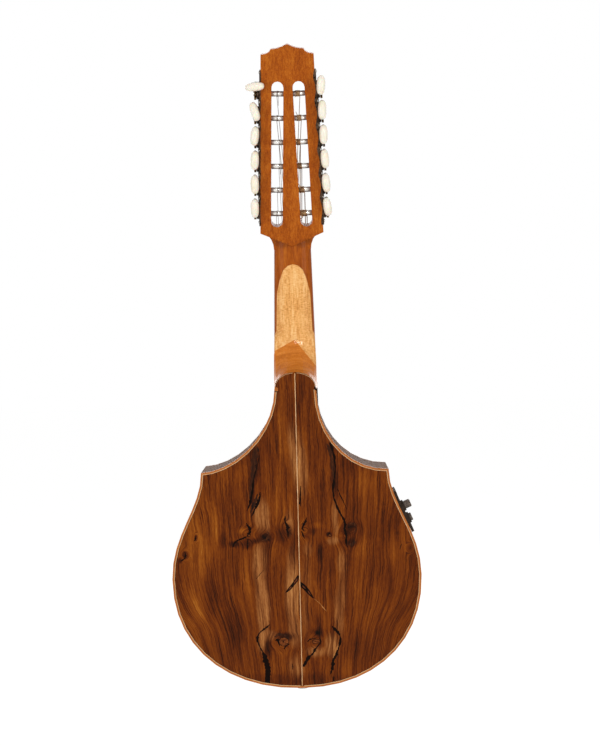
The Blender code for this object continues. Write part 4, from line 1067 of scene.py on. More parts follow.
@dataclass
class Body:
    """Plates, ribs, blocks and bracing of the sound box, with its edge lines and rosette."""

    front_y: float = 0.0
    proud: float = 0.00005
    let_in_depth: float = 0.0004
    face_tolerance: float = 2e-5
    step_most: float = 0.002
    end_height: float = 0.001
    purfling_mm: float = 0.15
    purfling_lap_mm: float = 0.5
    dark_line_mm: float = 0.28
    cap_dark_mm: float = 0.448
    cap_pale_mm: float = 0.4
    arc_low_z: float = -0.1662
    seam_half: float = 0.0011
    long_step: float = 0.05
    seam_mm: float = 0.8
    # How far each edge of the seam strip wavers, and how fast along it.
    seam_waver: tuple[Flat, Flat] = ((0.00012, 410.0), (0.00010, 530.0))
    seam_z: Flat = (-0.1512, -0.4985)
    seam_depth: float = 0.0006
    filler_proud: float = 0.00012
    filler_depth: float = 0.001
    filler_mm: tuple[Flat, ...] = ((-22.4, -165.2), (-18.8, -167.0), (-19.0, -170.6), (-22.8, -170.5))
    glue_mm: tuple[tuple[Flat, ...], ...] = (
        ((-22.9, -170.4), (-18.6, -170.5), (-18.7, -171.3), (-23.0, -171.2)),
        ((21.3, -165.9), (23.0, -166.8), (23.2, -170.4), (21.5, -170.3)),
    )
    hole_z: float = -0.268
    rosette_mm: tuple[tuple[float, float, Finish], ...] = (
        (33.2, 34.0, ROSEWOOD), (34.3, 35.0, PALE_MAPLE), (35.6, 39.4, MAPLE), (40.0, 40.7, PALE_MAPLE),
        (41.0, 41.8, ROSEWOOD),
    )
    block_mm: Flat = (36.2, 38.8)
    block_turns: Flat = (0.018, 0.035)
    block_count: int = 48

    def build(self) -> None:
        """Builds and dresses the whole sound box."""
        dress({f"back_{side.label}": BACK_WALNUT for side in Side})
        dress({f"rib_{side.label}": RIB_WALNUT for side in Side})
        dress({"soundboard": SPRUCE, "back_binding": MAPLE, "soundboard_binding": MAPLE})
        dress({"neck_block": MAHOGANY, "tail_block": MAHOGANY})
        dress({"back_bracing": BARE_SPRUCE, "soundboard_bracing": BARE_SPRUCE})
        self.build_back_lines()
        self.build_front_lines()
        self.build_seam()
        self.build_rosette()
        self.build_filler()

    def rim(self, node: str, y: float) -> Outline:
        """The outline of a plate's outer face, in order round it, in steps of 2 mm at most.

        Args:
            node: The CAD node of the plate.
            y: The depth of its outer face.

        Returns:
            The points of the face's edge, as X and Z.
        """
        mesh = frame["nodes"][node].data
        count: dict[tuple[Flat, Flat], int] = {}
        for face in mesh.polygons:
            corners = [mesh.vertices[i].co for i in face.vertices]
            if all(abs(c.y - y) < self.face_tolerance for c in corners):
                keys = [(round(c.x, 6), round(c.z, 6)) for c in corners]
                for a, b in zip(keys, keys[1:] + keys[:1]):
                    key = (min(a, b), max(a, b))
                    count[key] = count.get(key, 0) + 1
        ties: dict[Flat, list[Flat]] = {}
        for (a, b), times in count.items():
            if times == 1:
                ties.setdefault(a, []).append(b)
                ties.setdefault(b, []).append(a)
        ring, last = [max(ties)], None
        while len(ring) <= len(ties):
            onward = [p for p in ties[ring[-1]] if p != last]
            last = ring[-1]
            if onward[0] == ring[0]:
                break
            ring.append(onward[0])
        points = []
        for a, b in zip(ring, ring[1:] + ring[:1]):
            parts = max(1, math.ceil(math.dist(a, b) / self.step_most))
            for i in range(parts):
                points.append(tuple(p + (q - p) * i / parts for p, q in zip(a, b)))
        return points

    def inward(self, ring: Outline, run: Outline) -> int:
        """Which side of a run along its ring the plate lies on.

        Args:
            ring: The closed ring's points.
            run: Some of its points, in order one way round.

        Returns:
            1 where the plate is to the run's left and -1 where it is to the right.
        """
        here, onward = ring.index(run[0]), ring.index(run[1])
        same = (onward - here) % len(ring) < len(ring) / 2
        turn = sum(a[0] * b[1] - b[0] * a[1] for a, b in zip(ring, ring[1:] + ring[:1]))
        return 1 if same == (turn > 0) else -1

    def let_in(self, name: str, run: Outline, span: Sequence[float], finish: Finish, y: Flat) -> None:
        """Lets a thin line into a plate, between two distances to the left of a run, at its depths."""
        outer, inner = (shrunk(run, distance) for distance in span)
        add_piece(name, [slab(outer + inner[::-1], *y)], finish, "maple")

    def spans(self, inside: int) -> list[list[float]]:
        """Where the pale and dark line beside a binding lie, and the dark and pale line at the cap.

        Args:
            inside: The side of the edge's run that the plate lies on.

        Returns:
            Where each line starts and ends, in metres to the left of the run.
        """
        near, cap = self.purfling_mm, self.cap_dark_mm
        rim = ((-self.purfling_lap_mm, near), (near, near + self.dark_line_mm))
        spans_mm = (*rim, (0.0, cap), (cap, cap + self.cap_pale_mm))
        return [[inside * d * MM for d in span] for span in spans_mm]

    def build_back_lines(self) -> None:
        """The pale and the dark line let in inside the back's binding, and those along the heel cap."""
        depths = (BACK_Y - self.proud, BACK_Y + self.let_in_depth)
        for side in Side:
            ring = self.rim(f"back_{side.label}", BACK_Y)
            # The run without the seam starts at its end: the highest point beside the seam.
            edge = [p for p in ring if abs(p[0]) > self.seam_half]
            first = max(range(len(edge)), key=lambda i: edge[i][1] - 9 * abs(edge[i][0]))
            edge = edge[first:] + edge[:first]
            if abs(edge[1][1] - edge[0][1]) > self.long_step:
                edge = edge[1:] + edge[:1]
            spans = self.spans(self.inward(ring, edge))
            arc = [p for p in edge if p[1] > self.arc_low_z]
            rest = [p for p in edge if p[1] <= self.arc_low_z]
            rows = (
                ("rim_pale", rest, PALE_MAPLE), ("rim_dark", rest, BLACK_FILL),
                ("cap_dark", arc, BLACK_FILL), ("cap_pale", arc, PALE_MAPLE),
            )
            for (tone, run, finish), span in zip(rows, spans):
                self.let_in(f"back_{tone}_{side.label}", run, span, finish, depths)

    def build_front_lines(self) -> None:
        """The pale and the dark line let in just inside the soundboard's binding."""
        ring = self.rim("soundboard", self.front_y)
        top = max(z for _, z in ring)
        edge = [p for p in ring if p[1] < top - self.end_height]
        steps = [math.dist(a, b) for a, b in zip(edge, edge[1:] + edge[:1])]
        cut = steps.index(max(steps)) + 1
        edge = edge[cut:] + edge[:cut]
        depths = (self.front_y - self.let_in_depth, self.front_y + self.proud)
        rows = (("pale", PALE_MAPLE), ("dark", ROSEWOOD))
        for (tone, finish), span in zip(rows, self.spans(self.inward(ring, edge))):
            self.let_in(f"front_rim_{tone}", edge, span, finish, depths)

    def build_seam(self) -> None:
        """The pale strip between the two leaves, a little uneven as scraped wood is."""
        half = self.seam_mm * MM / 2
        heights = np.linspace(*self.seam_z, 60)
        edges = zip((-half, half), self.seam_waver)
        left, right = ([(x + far * math.sin(fast * z), z) for z in heights] for x, (far, fast) in edges)
        strip = slab(left + right[::-1], BACK_Y - self.proud, BACK_Y + self.seam_depth)
        add_piece("back_seam_strip", [strip], PALE_MAPLE, "maple")

    def build_filler(self) -> None:
        """The small filler block at one end of the heel cap, and the dark glue beside both ends."""
        depths = (BACK_Y - self.filler_proud, BACK_Y + self.filler_depth)
        add_piece("heel_filler", [slab(in_metres(self.filler_mm), *depths)], MAPLE, "maple")
        lines = [slab(in_metres(run), *depths) for run in self.glue_mm]
        add_piece("heel_filler_glue", lines, BLACK_FILL, "walnut")

    def build_rosette(self) -> None:
        """Rings let in round the sound hole, the wide one with dark blocks in it."""
        low, high = -self.let_in_depth, self.front_y + self.proud
        for i, (near, far, finish) in enumerate(self.rosette_mm):
            rings = [oval(0.0, self.hole_z, r * MM, r * MM, 72) for r in (far, near)]
            add_piece(f"rosette_ring_{i + 1}", [ring_band(*rings, low, high)], finish, "maple")
        (near, far), (small, wide) = self.block_mm, self.block_turns
        blocks = []
        for i in range(self.block_count):
            turn = 2 * math.pi * i / self.block_count
            outline = []
            for radius, off in ((near, -wide), (far, -small), (far, wide), (near, small)):
                x, z = radius * MM * math.cos(turn + off), radius * MM * math.sin(turn + off)
                outline.append((x, self.hole_z + z))
            blocks.append(slab(outline, low, high + self.proud))
        add_piece("rosette_blocks", blocks, ROSEWOOD, "dark_board_wood")


@dataclass
class BackFigure:
    """Fissures, knots and inlaid slivers of the walnut back, let in flush with its face.

    Each line is its middle's X and Z and its width, in millimetres. Each outline is X and Z.
    """

    proud: float = 0.00004
    deep: float = 0.0005
    bolder: float = 1.25
    cell_share: float = 0.75
    rim_mm: float = 0.6
    # A knot's heart: how far it is off the middle, and its half width and height, as shares.
    knot_heart: Place = (0.14, 0.15, 0.22)
    fissures: tuple[tuple[Place, ...], ...] = (
        ((-41.3, -240.8, 0.4), (-43.7, -251.8, 0.7), (-46.9, -261.9, 0.8), (-48.8, -271.2, 1.5),
         (-49.9, -279.6, 1.8), (-51.4, -288.1, 2.3), (-53.2, -294.9, 1.8), (-55.0, -299.1, 0.8),
         (-56.8, -302.4, 0.3)),
        ((-41.5, -281.5, 0.7), (-41.8, -286.6, 1.3), (-43.4, -291.7, 2.0), (-45.7, -296.7, 2.2),
         (-47.9, -300.9, 2.0), (-49.7, -305.2, 1.2), (-51.5, -308.5, 0.3)),
        ((-57.6, -315.6, 0.5), (-56.0, -318.6, 1.7), (-53.9, -321.7, 2.5), (-53.6, -325.1, 2.0),
         (-55.4, -328.4, 3.0), (-56.9, -330.7, 1.0)),
        ((-57.5, -330.7, 0.8), (-62.7, -333.0, 1.3), (-67.8, -334.6, 1.4), (-71.7, -337.9, 1.6),
         (-72.9, -342.1, 0.6)),
        ((-56.2, -333.1, 1.0), (-56.7, -338.2, 1.0), (-57.0, -342.5, 1.1), (-56.9, -346.3, 0.3)),
        ((-14.5, -308.5, 0.7), (-14.8, -314.5, 1.5), (-13.0, -318.8, 2.0), (-11.6, -321.3, 2.8),
         (-12.7, -324.7, 1.7), (-11.6, -328.2, 1.3), (-12.0, -334.1, 0.4)),
        ((-34.2, -429.1, 0.4), (-37.2, -431.7, 1.4), (-40.9, -434.4, 1.6), (-44.7, -437.1, 0.9),
         (-47.0, -439.9, 0.9), (-48.3, -443.1, 2.0), (-48.6, -447.3, 1.8), (-47.3, -450.6, 0.9),
         (-45.6, -455.2, 1.1), (-42.9, -459.9, 1.4), (-40.8, -465.6, 3.6), (-39.1, -472.1, 4.5),
         (-37.9, -479.6, 4.7), (-38.6, -487.0, 4.7), (-39.2, -494.6, 4.5)),
        ((34.4, -432.7, 0.5), (37.2, -435.7, 2.5), (40.8, -439.5, 2.3), (43.1, -442.8, 1.3),
         (43.7, -447.0, 1.6), (43.0, -451.6, 1.8), (41.4, -456.2, 2.0), (38.9, -462.6, 2.3),
         (36.0, -468.2, 2.7), (34.5, -473.7, 2.7), (33.9, -480.2, 2.1), (32.4, -483.9, 1.3),
         (30.8, -487.8, 0.4)),
        ((35.2, -488.4, 0.4), (35.0, -490.9, 1.3), (35.0, -494.4, 1.1)),
        ((21.7, -451.1, 0.7), (19.2, -453.1, 1.1), (14.6, -459.3, 2.0), (12.7, -463.0, 1.1),
         (8.0, -466.6, 2.3), (5.1, -471.2, 2.7), (2.2, -476.3, 2.0), (0.8, -477.2, 0.4)),
        ((-28.8, -447.7, 0.5), (-26.0, -445.9, 2.0), (-25.2, -450.1, 1.4), (-23.9, -453.8, 0.4)),
        ((-18.9, -457.2, 0.9), (-17.9, -454.4, 1.3), (-12.8, -451.3, 0.5)),
        ((7.0, -449.4, 1.1), (9.4, -447.0, 1.1), (13.1, -446.1, 0.7), (17.2, -445.3, 0.5)),
        ((20.0, -445.1, 0.4), (21.7, -449.3, 1.1), (20.3, -452.2, 0.5)),
        ((-39.9, -368.4, 0.3), (-44.0, -373.2, 0.4), (-48.2, -378.0, 0.3)),
        ((-10.4, -473.7, 0.5), (-10.1, -477.4, 0.9), (-10.4, -480.6, 0.4)),
        ((9.0, -311.0, 0.7), (8.1, -315.3, 1.7), (5.8, -318.6, 2.0), (3.9, -322.9, 2.0),
         (5.9, -325.6, 0.7)),
        ((3.2, -326.0, 0.7), (4.7, -330.0, 1.5), (6.5, -334.4, 0.4)),
        ((3.6, -275.7, 0.4), (2.9, -285.6, 0.9), (2.2, -295.4, 1.3), (3.2, -298.7, 0.2)),
        ((36.6, -228.6, 1.1), (39.6, -236.0, 2.2), (41.6, -244.8, 1.7), (42.2, -258.0, 1.1),
         (40.6, -268.9, 1.3), (39.0, -279.8, 1.7), (39.7, -289.7, 1.7), (43.2, -299.6, 2.2),
         (46.7, -307.4, 1.5), (50.5, -314.1, 1.7), (51.7, -319.6, 2.8), (50.7, -324.0, 2.0),
         (51.9, -328.4, 1.7), (52.7, -333.9, 1.3), (52.1, -340.5, 1.7), (53.7, -345.4, 0.4)),
        ((44.3, -279.9, 0.4), (47.1, -287.7, 0.9), (49.9, -293.2, 0.7), (54.0, -303.2, 0.4)),
        ((-113.7, -328.9, 0.4), (-114.5, -331.9, 1.6), (-115.6, -334.5, 0.4)),
        ((-126.5, -345.5, 0.4), (-125.7, -350.0, 1.8), (-126.8, -353.5, 1.0), (-131.0, -356.4, 1.2)),
        ((113.5, -342.5, 0.3), (112.3, -345.4, 0.7), (111.6, -348.9, 0.3)),
        ((17.6, -440.4, 0.6), (18.3, -440.4, 1.8), (19.1, -440.2, 0.6)),
    )
    eyes: tuple[tuple[Flat, ...], ...] = (
        ((-1.7, -374.2), (-0.6, -376.1), (-1.5, -380.6), (-6.2, -386.2), (-9.5, -390.2),
         (-13.7, -393.4), (-16.4, -394.3), (-14.8, -391.7), (-12.0, -388.1), (-7.4, -382.3),
         (-4.4, -377.9)),
        ((0.9, -381.9), (4.3, -384.7), (7.3, -387.6), (10.9, -392.5), (13.5, -397.2),
         (15.3, -401.1), (14.0, -401.1), (11.3, -398.8), (7.7, -395.2), (4.1, -390.9),
         (1.1, -388.4), (0.5, -385.8)),
    )
    hearts: tuple[tuple[Place, ...], ...] = (
        ((-43.0, -230.6, 0.6), (-45.0, -236.6, 6.4), (-47.6, -246.6, 8.6), (-48.6, -256.6, 7.0),
         (-49.6, -266.6, 4.6), (-51.0, -276.6, 3.4), (-53.4, -288.6, 1.2)),
        ((33.6, -229.6, 0.6), (36.4, -236.6, 4.4), (38.6, -246.6, 4.0), (39.6, -260.6, 2.2),
         (39.0, -271.6, 0.8)),
        ((-44.4, -283.6, 0.8), (-46.6, -290.6, 3.4), (-49.6, -297.6, 3.6), (-53.0, -304.6, 1.0)),
        ((-34.4, -325.4, 0.7), (-33.0, -328.4, 1.9), (-34.0, -332.4, 2.4), (-37.0, -335.0, 2.2),
         (-41.0, -335.6, 1.0)),
        ((55.0, -319.6, 0.8), (59.6, -318.2, 2.0), (63.4, -320.8, 2.2), (64.0, -325.4, 1.8),
         (61.0, -328.6, 0.8)),
        ((54.4, -341.6, 0.8), (58.4, -342.6, 2.6), (61.6, -339.8, 2.4), (61.4, -335.6, 0.8)),
        ((-29.6, -443.6, 0.8), (-26.4, -441.0, 2.2), (-21.6, -440.6, 2.6), (-16.4, -442.6, 2.0),
         (-12.6, -446.6, 0.8)),
    )
    cells: tuple[tuple[Flat, ...], ...] = (
        ((-2.3, -376.6), (-2.0, -380.2), (-6.4, -385.1), (-7.5, -384.1), (-4.8, -380.1)),
        ((-8.3, -387.2), (-11.1, -390.7), (-13.0, -391.4), (-11.8, -389.0), (-10.0, -387.4)),
        ((1.8, -385.6), (3.9, -386.4), (7.1, -390.4), (6.1, -390.7), (3.2, -388.4)),
        ((8.1, -391.1), (9.9, -393.2), (12.6, -397.9), (11.3, -397.5), (8.6, -394.1)),
    )
    slivers: tuple[tuple[Place, ...], ...] = (
        ((15.2, -401.5, 0.3), (21.4, -406.6, 0.7), (24.9, -411.3, 0.8), (28.7, -415.8, 0.3)),
        ((41.1, -453.2, 0.5), (40.0, -456.2, 2.0), (38.0, -459.8, 2.3), (36.2, -464.4, 1.8),
         (34.8, -468.1, 0.7)),
    )
    knots: tuple[tuple[float, float, float, float], ...] = (
        (-19.2, -448.8, 5.2, 4.6),
        (16.6, -449.4, 4.2, 2.2),
        (34.3, -331.4, 1.3, 1.1),
        (-55.0, -329.6, 1.2, 1.0),
    )

    def build(self) -> None:
        """Builds the fissures, eyes, knots and slivers, each layer a hair above the one below it."""
        bold = [[(x, z, wide * self.bolder) for x, z, wide in run] for run in self.fissures]
        cells, rims, knots, dots = [], [], [], []
        for run in self.cells:
            x0, z0 = (sum(p[i] for p in run) / len(run) for i in (0, 1))
            share = self.cell_share
            cells.append(in_metres((x0 + share * (x - x0), z0 + share * (z - z0)) for x, z in run))
        off, wide, high = self.knot_heart
        for x, z, a, b in self.knots:
            rims.append(in_metres(oval(x, z, a + self.rim_mm, b + self.rim_mm)))
            knots.append(in_metres(oval(x, z, a, b)))
            dots.append(in_metres(oval(x - off * a, z, wide * a, high * b)))
        layers = (
            ("dark_heart", map(drawn_line, self.hearts), 1, DARK_HEART),
            ("fissures", map(drawn_line, bold), 2, BLACK_FILL),
            ("eyes", map(in_metres, self.eyes), 2, BLACK_FILL),
            ("eye_cells", cells, 3, HEART_WOOD),
            ("slivers", map(drawn_line, self.slivers), 3, LIGHT_LEAF),
            ("knot_rims", rims, 3, BLACK_FILL),
            ("knots", knots, 4, KNOT_WOOD),
            ("knot_hearts", dots, 5, BLACK_FILL),
        )
        for name, outlines, layer, finish in layers:
            low, high = BACK_Y - self.proud * layer, BACK_Y + self.deep
            add_piece(f"back_{name}", [slab(run, low, high) for run in outlines], finish, "walnut")


# Neck and fingerboard.


@dataclass
class Neck:
    """Neck shaft, heel, fingerboard, frets, position dots and nut."""

    scale: float = 0.340
    nut_half: float = 0.0208
    taper: float = 0.0235
    board_top: float = 0.0055
    fret_count: int = 19
    fret_width: float = 0.0023
    fret_height: float = 0.00115
    fret_foot: float = 0.0003
    fret_inset: float = 0.0002
    dots: tuple[int, ...] = (5, 7, 10, 12, 15)
    dot_radius: float = 0.0026
    dot_depth: float = 0.001
    dot_proud: float = 0.00004
    octave: int = 12
    octave_offset: float = 0.0085

    def half_width(self, z: float) -> float:
        """Half the neck's width at a height."""
        return self.nut_half - self.taper * z

    def fret_z(self, number: float) -> float:
        """The height of a fret, counted from the nut."""
        return -self.scale * (1 - 2 ** (-number / 12))

    def build(self) -> None:
        """Builds the frets and dots and dresses the neck's wood."""
        dress({"neck_shaft": NECK, "heel": HEEL, "fingerboard": ROSEWOOD, "nut": BONE})
        foot, half = self.board_top - self.fret_foot, self.fret_width / 2
        ring = [(foot, -half)]
        for turn in half_turn(8):
            ring.append((self.board_top + math.sin(turn) * self.fret_height, -math.cos(turn) * half))
        ring.append((foot, half))
        wires, dots = [], []
        for number in range(1, self.fret_count + 1):
            z = self.fret_z(number)
            reach = self.half_width(z) - self.fret_inset
            wires.append(loft([[(x, y, z + dz) for y, dz in ring] for x in (-reach, reach)]))
        add_piece("fret_wires", wires, FRET_WIRE, "plated_steel")
        low, high = self.board_top - self.dot_depth, self.board_top + self.dot_proud
        for number in self.dots:
            z = (self.fret_z(number) + self.fret_z(number - 1)) / 2
            off = self.octave_offset
            for x in (-off, off) if number == self.octave else (0.0,):
                dots.append(slab(oval(x, z, self.dot_radius, self.dot_radius, 28), low, high))
        add_piece("position_dots", dots, PEARL, "bone")


# Head and tuning machines.


@dataclass
class HeadFrame:
    """Where the head and its two sides lie."""

    half_width: float = 0.0361
    taper: float = math.radians(1.95)
    first_roller: float = 0.0322
    spacing: float = 0.0267
    roller_depth: float = 0.0090
    worm_offset: float = 0.0089
    gear_x: float = 0.0060

    def side(self, side: Side, x: float = 0.0, y: float = 0.0, z: float = 0.0) -> Matrix:
        """A frame on one side of the head, for shapes that are drawn for the bass side.

        Args:
            side: The head's side.
            x: How far out of the side the frame's middle is.
            y: How far to the front it is.
            z: How far up the side it is, from the nut.

        Returns:
            The frame: X out of the side, Y to the front and Z along the head.
        """
        sign = side.value
        lean, taper = Matrix.Rotation(HEAD_ANGLE, 4, "X"), Matrix.Rotation(-sign * self.taper, 4, "Y")
        edge = Matrix.Translation((sign * self.half_width, 0, 0))
        shift, mirror = Matrix.Translation((sign * x, y, z)), Matrix.Diagonal((sign, 1.0, 1.0, 1.0))
        return lean @ edge @ taper @ shift @ mirror

    def height(self, number: int) -> float:
        """The height of a roller along its side, counted from the nut."""
        return self.first_roller + self.spacing * (number - 1)


@dataclass
class Head:
    """The head's wood, and the machine plates on its sides."""

    place: HeadFrame
    plate_low: float = 0.0193
    plate_high: float = 0.1916
    plate_front: float = 0.0012
    plate_back: float = 0.0178
    plate_x: Flat = (0.0003, 0.0015)
    bevel: float = 0.0003
    steps: int = 150
    # The plate's mean width as a share, how far each machine widens it, and the ripple on that.
    lobe: Place = (0.86, 0.11, 0.03)
    end_round: float = 0.006
    head_thickness: float = 0.0190
    lip_reach: ClassVar[dict[Side, float]] = {Side.BASS: 0.0019, Side.TREBLE: 0.0005}
    lip_x: Flat = (-0.0001, 0.0012)
    lip_y: Flat = (-0.00025, 0.0012)
    lip_shift: float = 1.02
    ear_depths: Flat = (0.0024, 0.0147)
    ear_thickness: float = 0.0012
    ear_half_width: float = 0.0036
    ear_foot: float = 0.0006
    ear_reach: float = 0.0095
    bearing: tuple[Flat, ...] = ((0.0014, 0.0066), (0.0036, 0.0065), (0.0043, 0.0060), (0.0046, 0.0052))
    boss_half: Place = (0.0017, 0.0042, 0.0050)
    boss_share: float = 0.66
    boss_rings: int = 7
    seat: float = 0.0014
    screw_height: float = 0.0011
    screw_radius: float = 0.0018
    screw_dome: tuple[float, ...] = (0.0, 0.45, 0.8, 1.0)
    # Half the slot's width, and how much of the radius each half of the head has across it.
    screw_slot: Flat = (0.00018, 0.92)
    screw_depths: Flat = (0.0040, 0.0150)
    screw_inset: float = 0.0030

    def build(self) -> None:
        """Dresses the head and builds both plates."""
        dress({"head": MAHOGANY})
        for side in Side:
            self.build_plate(side)

    def waves(self) -> list[Flat]:
        """Heights along the plate, each with its turn in the wave from machine to machine.

        Returns:
            Pairs of a height and a turn.
        """
        run = (self.plate_high - self.plate_low) / self.steps
        heights = [self.plate_low + run * i for i in range(self.steps + 1)]
        return [(z, (z - self.place.first_roller) / self.place.spacing * 2 * math.pi) for z in heights]

    def scalloped_plate(self) -> Solid:
        """A long plate whose edges swell at each machine and draw in between them.

        Returns:
            The plate in the side's frame.
        """
        rings = []
        middle = (self.plate_front + self.plate_back) / 2
        half = (self.plate_back - self.plate_front) / 2
        (near, far), (mean, swell, ripple) = self.plate_x, self.lobe
        inner = far - self.bevel
        for z, turn in self.waves():
            ends = min(z - self.plate_low, self.plate_high - z) / self.end_round
            width = mean + swell * math.cos(turn) + ripple * math.cos(3 * turn)
            width *= half * min(1.0, math.sqrt(max(0.10, ends)))
            low, high = -middle - width, -middle + width
            ring = [(near, low), (inner, low), (far, low + self.bevel), (far, high - self.bevel)]
            rings.append([(x, y, z) for x, y in ring + [(inner, high), (near, high)]])
        return loft(rings)

    def lip(self, reach_most: float) -> Solid:
        """The plate's waved lip, folded over the edge of the head's back.

        Args:
            reach_most: How far in each wave comes.

        Returns:
            The lip in the side's frame.
        """
        inner, outer = [], []
        for z, turn in self.waves():
            wave = 0.5 - 0.5 * math.cos(turn - self.lip_shift)
            inner.append((self.lip_x[0] - reach_most * wave**1.5, z))
            outer.append((self.lip_x[1], z))
        return slab(outer + inner[::-1], *(y - self.head_thickness for y in self.lip_y))

    def ear(self, worm: float, depth: float) -> Solid:
        """One round-ended ear that holds a worm's shaft.

        Args:
            worm: The worm's place along the plate.
            depth: How far out the worm runs.

        Returns:
            The ear in the side's frame.
        """
        near, half = self.plate_x[0] + self.ear_foot, self.ear_half_width
        outline = [(near, worm - half)]
        for turn in half_turn(12):
            x = self.ear_reach - half + half * math.sin(turn)
            outline.append((x, worm - half * math.cos(turn)))
        return slab([*outline, (near, worm + half)], -depth - self.ear_thickness, -depth)

    def boss(self, z: float) -> Solid:
        """A low domed boss pressed into the plate between two machines.

        Args:
            z: Its place along the plate.

        Returns:
            The dome in the side's frame.
        """
        middle = -(self.plate_front + self.plate_back) / 2
        rings = []
        rise, half_y, half_z = self.boss_half
        for i in range(self.boss_rings):
            turn = math.pi / 2 * i / (self.boss_rings - 0.5)
            round_dome = oval(middle, z, half_y * math.cos(turn), half_z * math.cos(turn))
            rings.append([(self.seat + rise * math.sin(turn), y, along) for y, along in round_dome])
        return loft(rings)

    def build_plate(self, side: Side) -> None:
        """One plate with its ears, bosses, bearings and screws.

        Args:
            side: The head's edge that it goes on.
        """
        place = self.place
        here = place.side(side)
        heights = [place.height(n) for n in range(1, 7)]
        between = [z + place.spacing * self.boss_share for z in heights[:-1]]
        shells = [self.scalloped_plate()]
        shells += [self.ear(z + place.worm_offset, depth) for z in heights for depth in self.ear_depths]
        shells += [self.boss(z) for z in between]
        for z in heights:
            at = Matrix.Translation((0.0, -place.roller_depth, z)) @ ALONG_X
            shells.append(turned(self.bearing, 24).moved(at))
        shells.append(self.lip(self.lip_reach[side]))
        name = f"machine_plate_{side.label}"
        add_piece(f"plate_{side.label}", shells, AGED_STEEL, "aged_steel", stands_for=[name], place=here)
        middle = (self.plate_front + self.plate_back) / 2
        ends = (self.plate_low + self.screw_inset, self.plate_high - self.screw_inset)
        places = [(z, middle) for z in ends]
        places += [(z, depth) for z in between for depth in self.screw_depths]
        rows = []
        for share in self.screw_dome:
            radius = self.screw_radius * math.sqrt(1 - share * share * 0.9)
            rows.append((self.seat + self.screw_height * share, radius))
        head = slotted_head(rows, *self.screw_slot, 8)
        screws = [head.moved(Matrix.Translation((0.0, -depth, z))) for z, depth in places]
        add_piece(f"plate_screws_{side.label}", screws, NICKEL, "plated_steel", place=here)


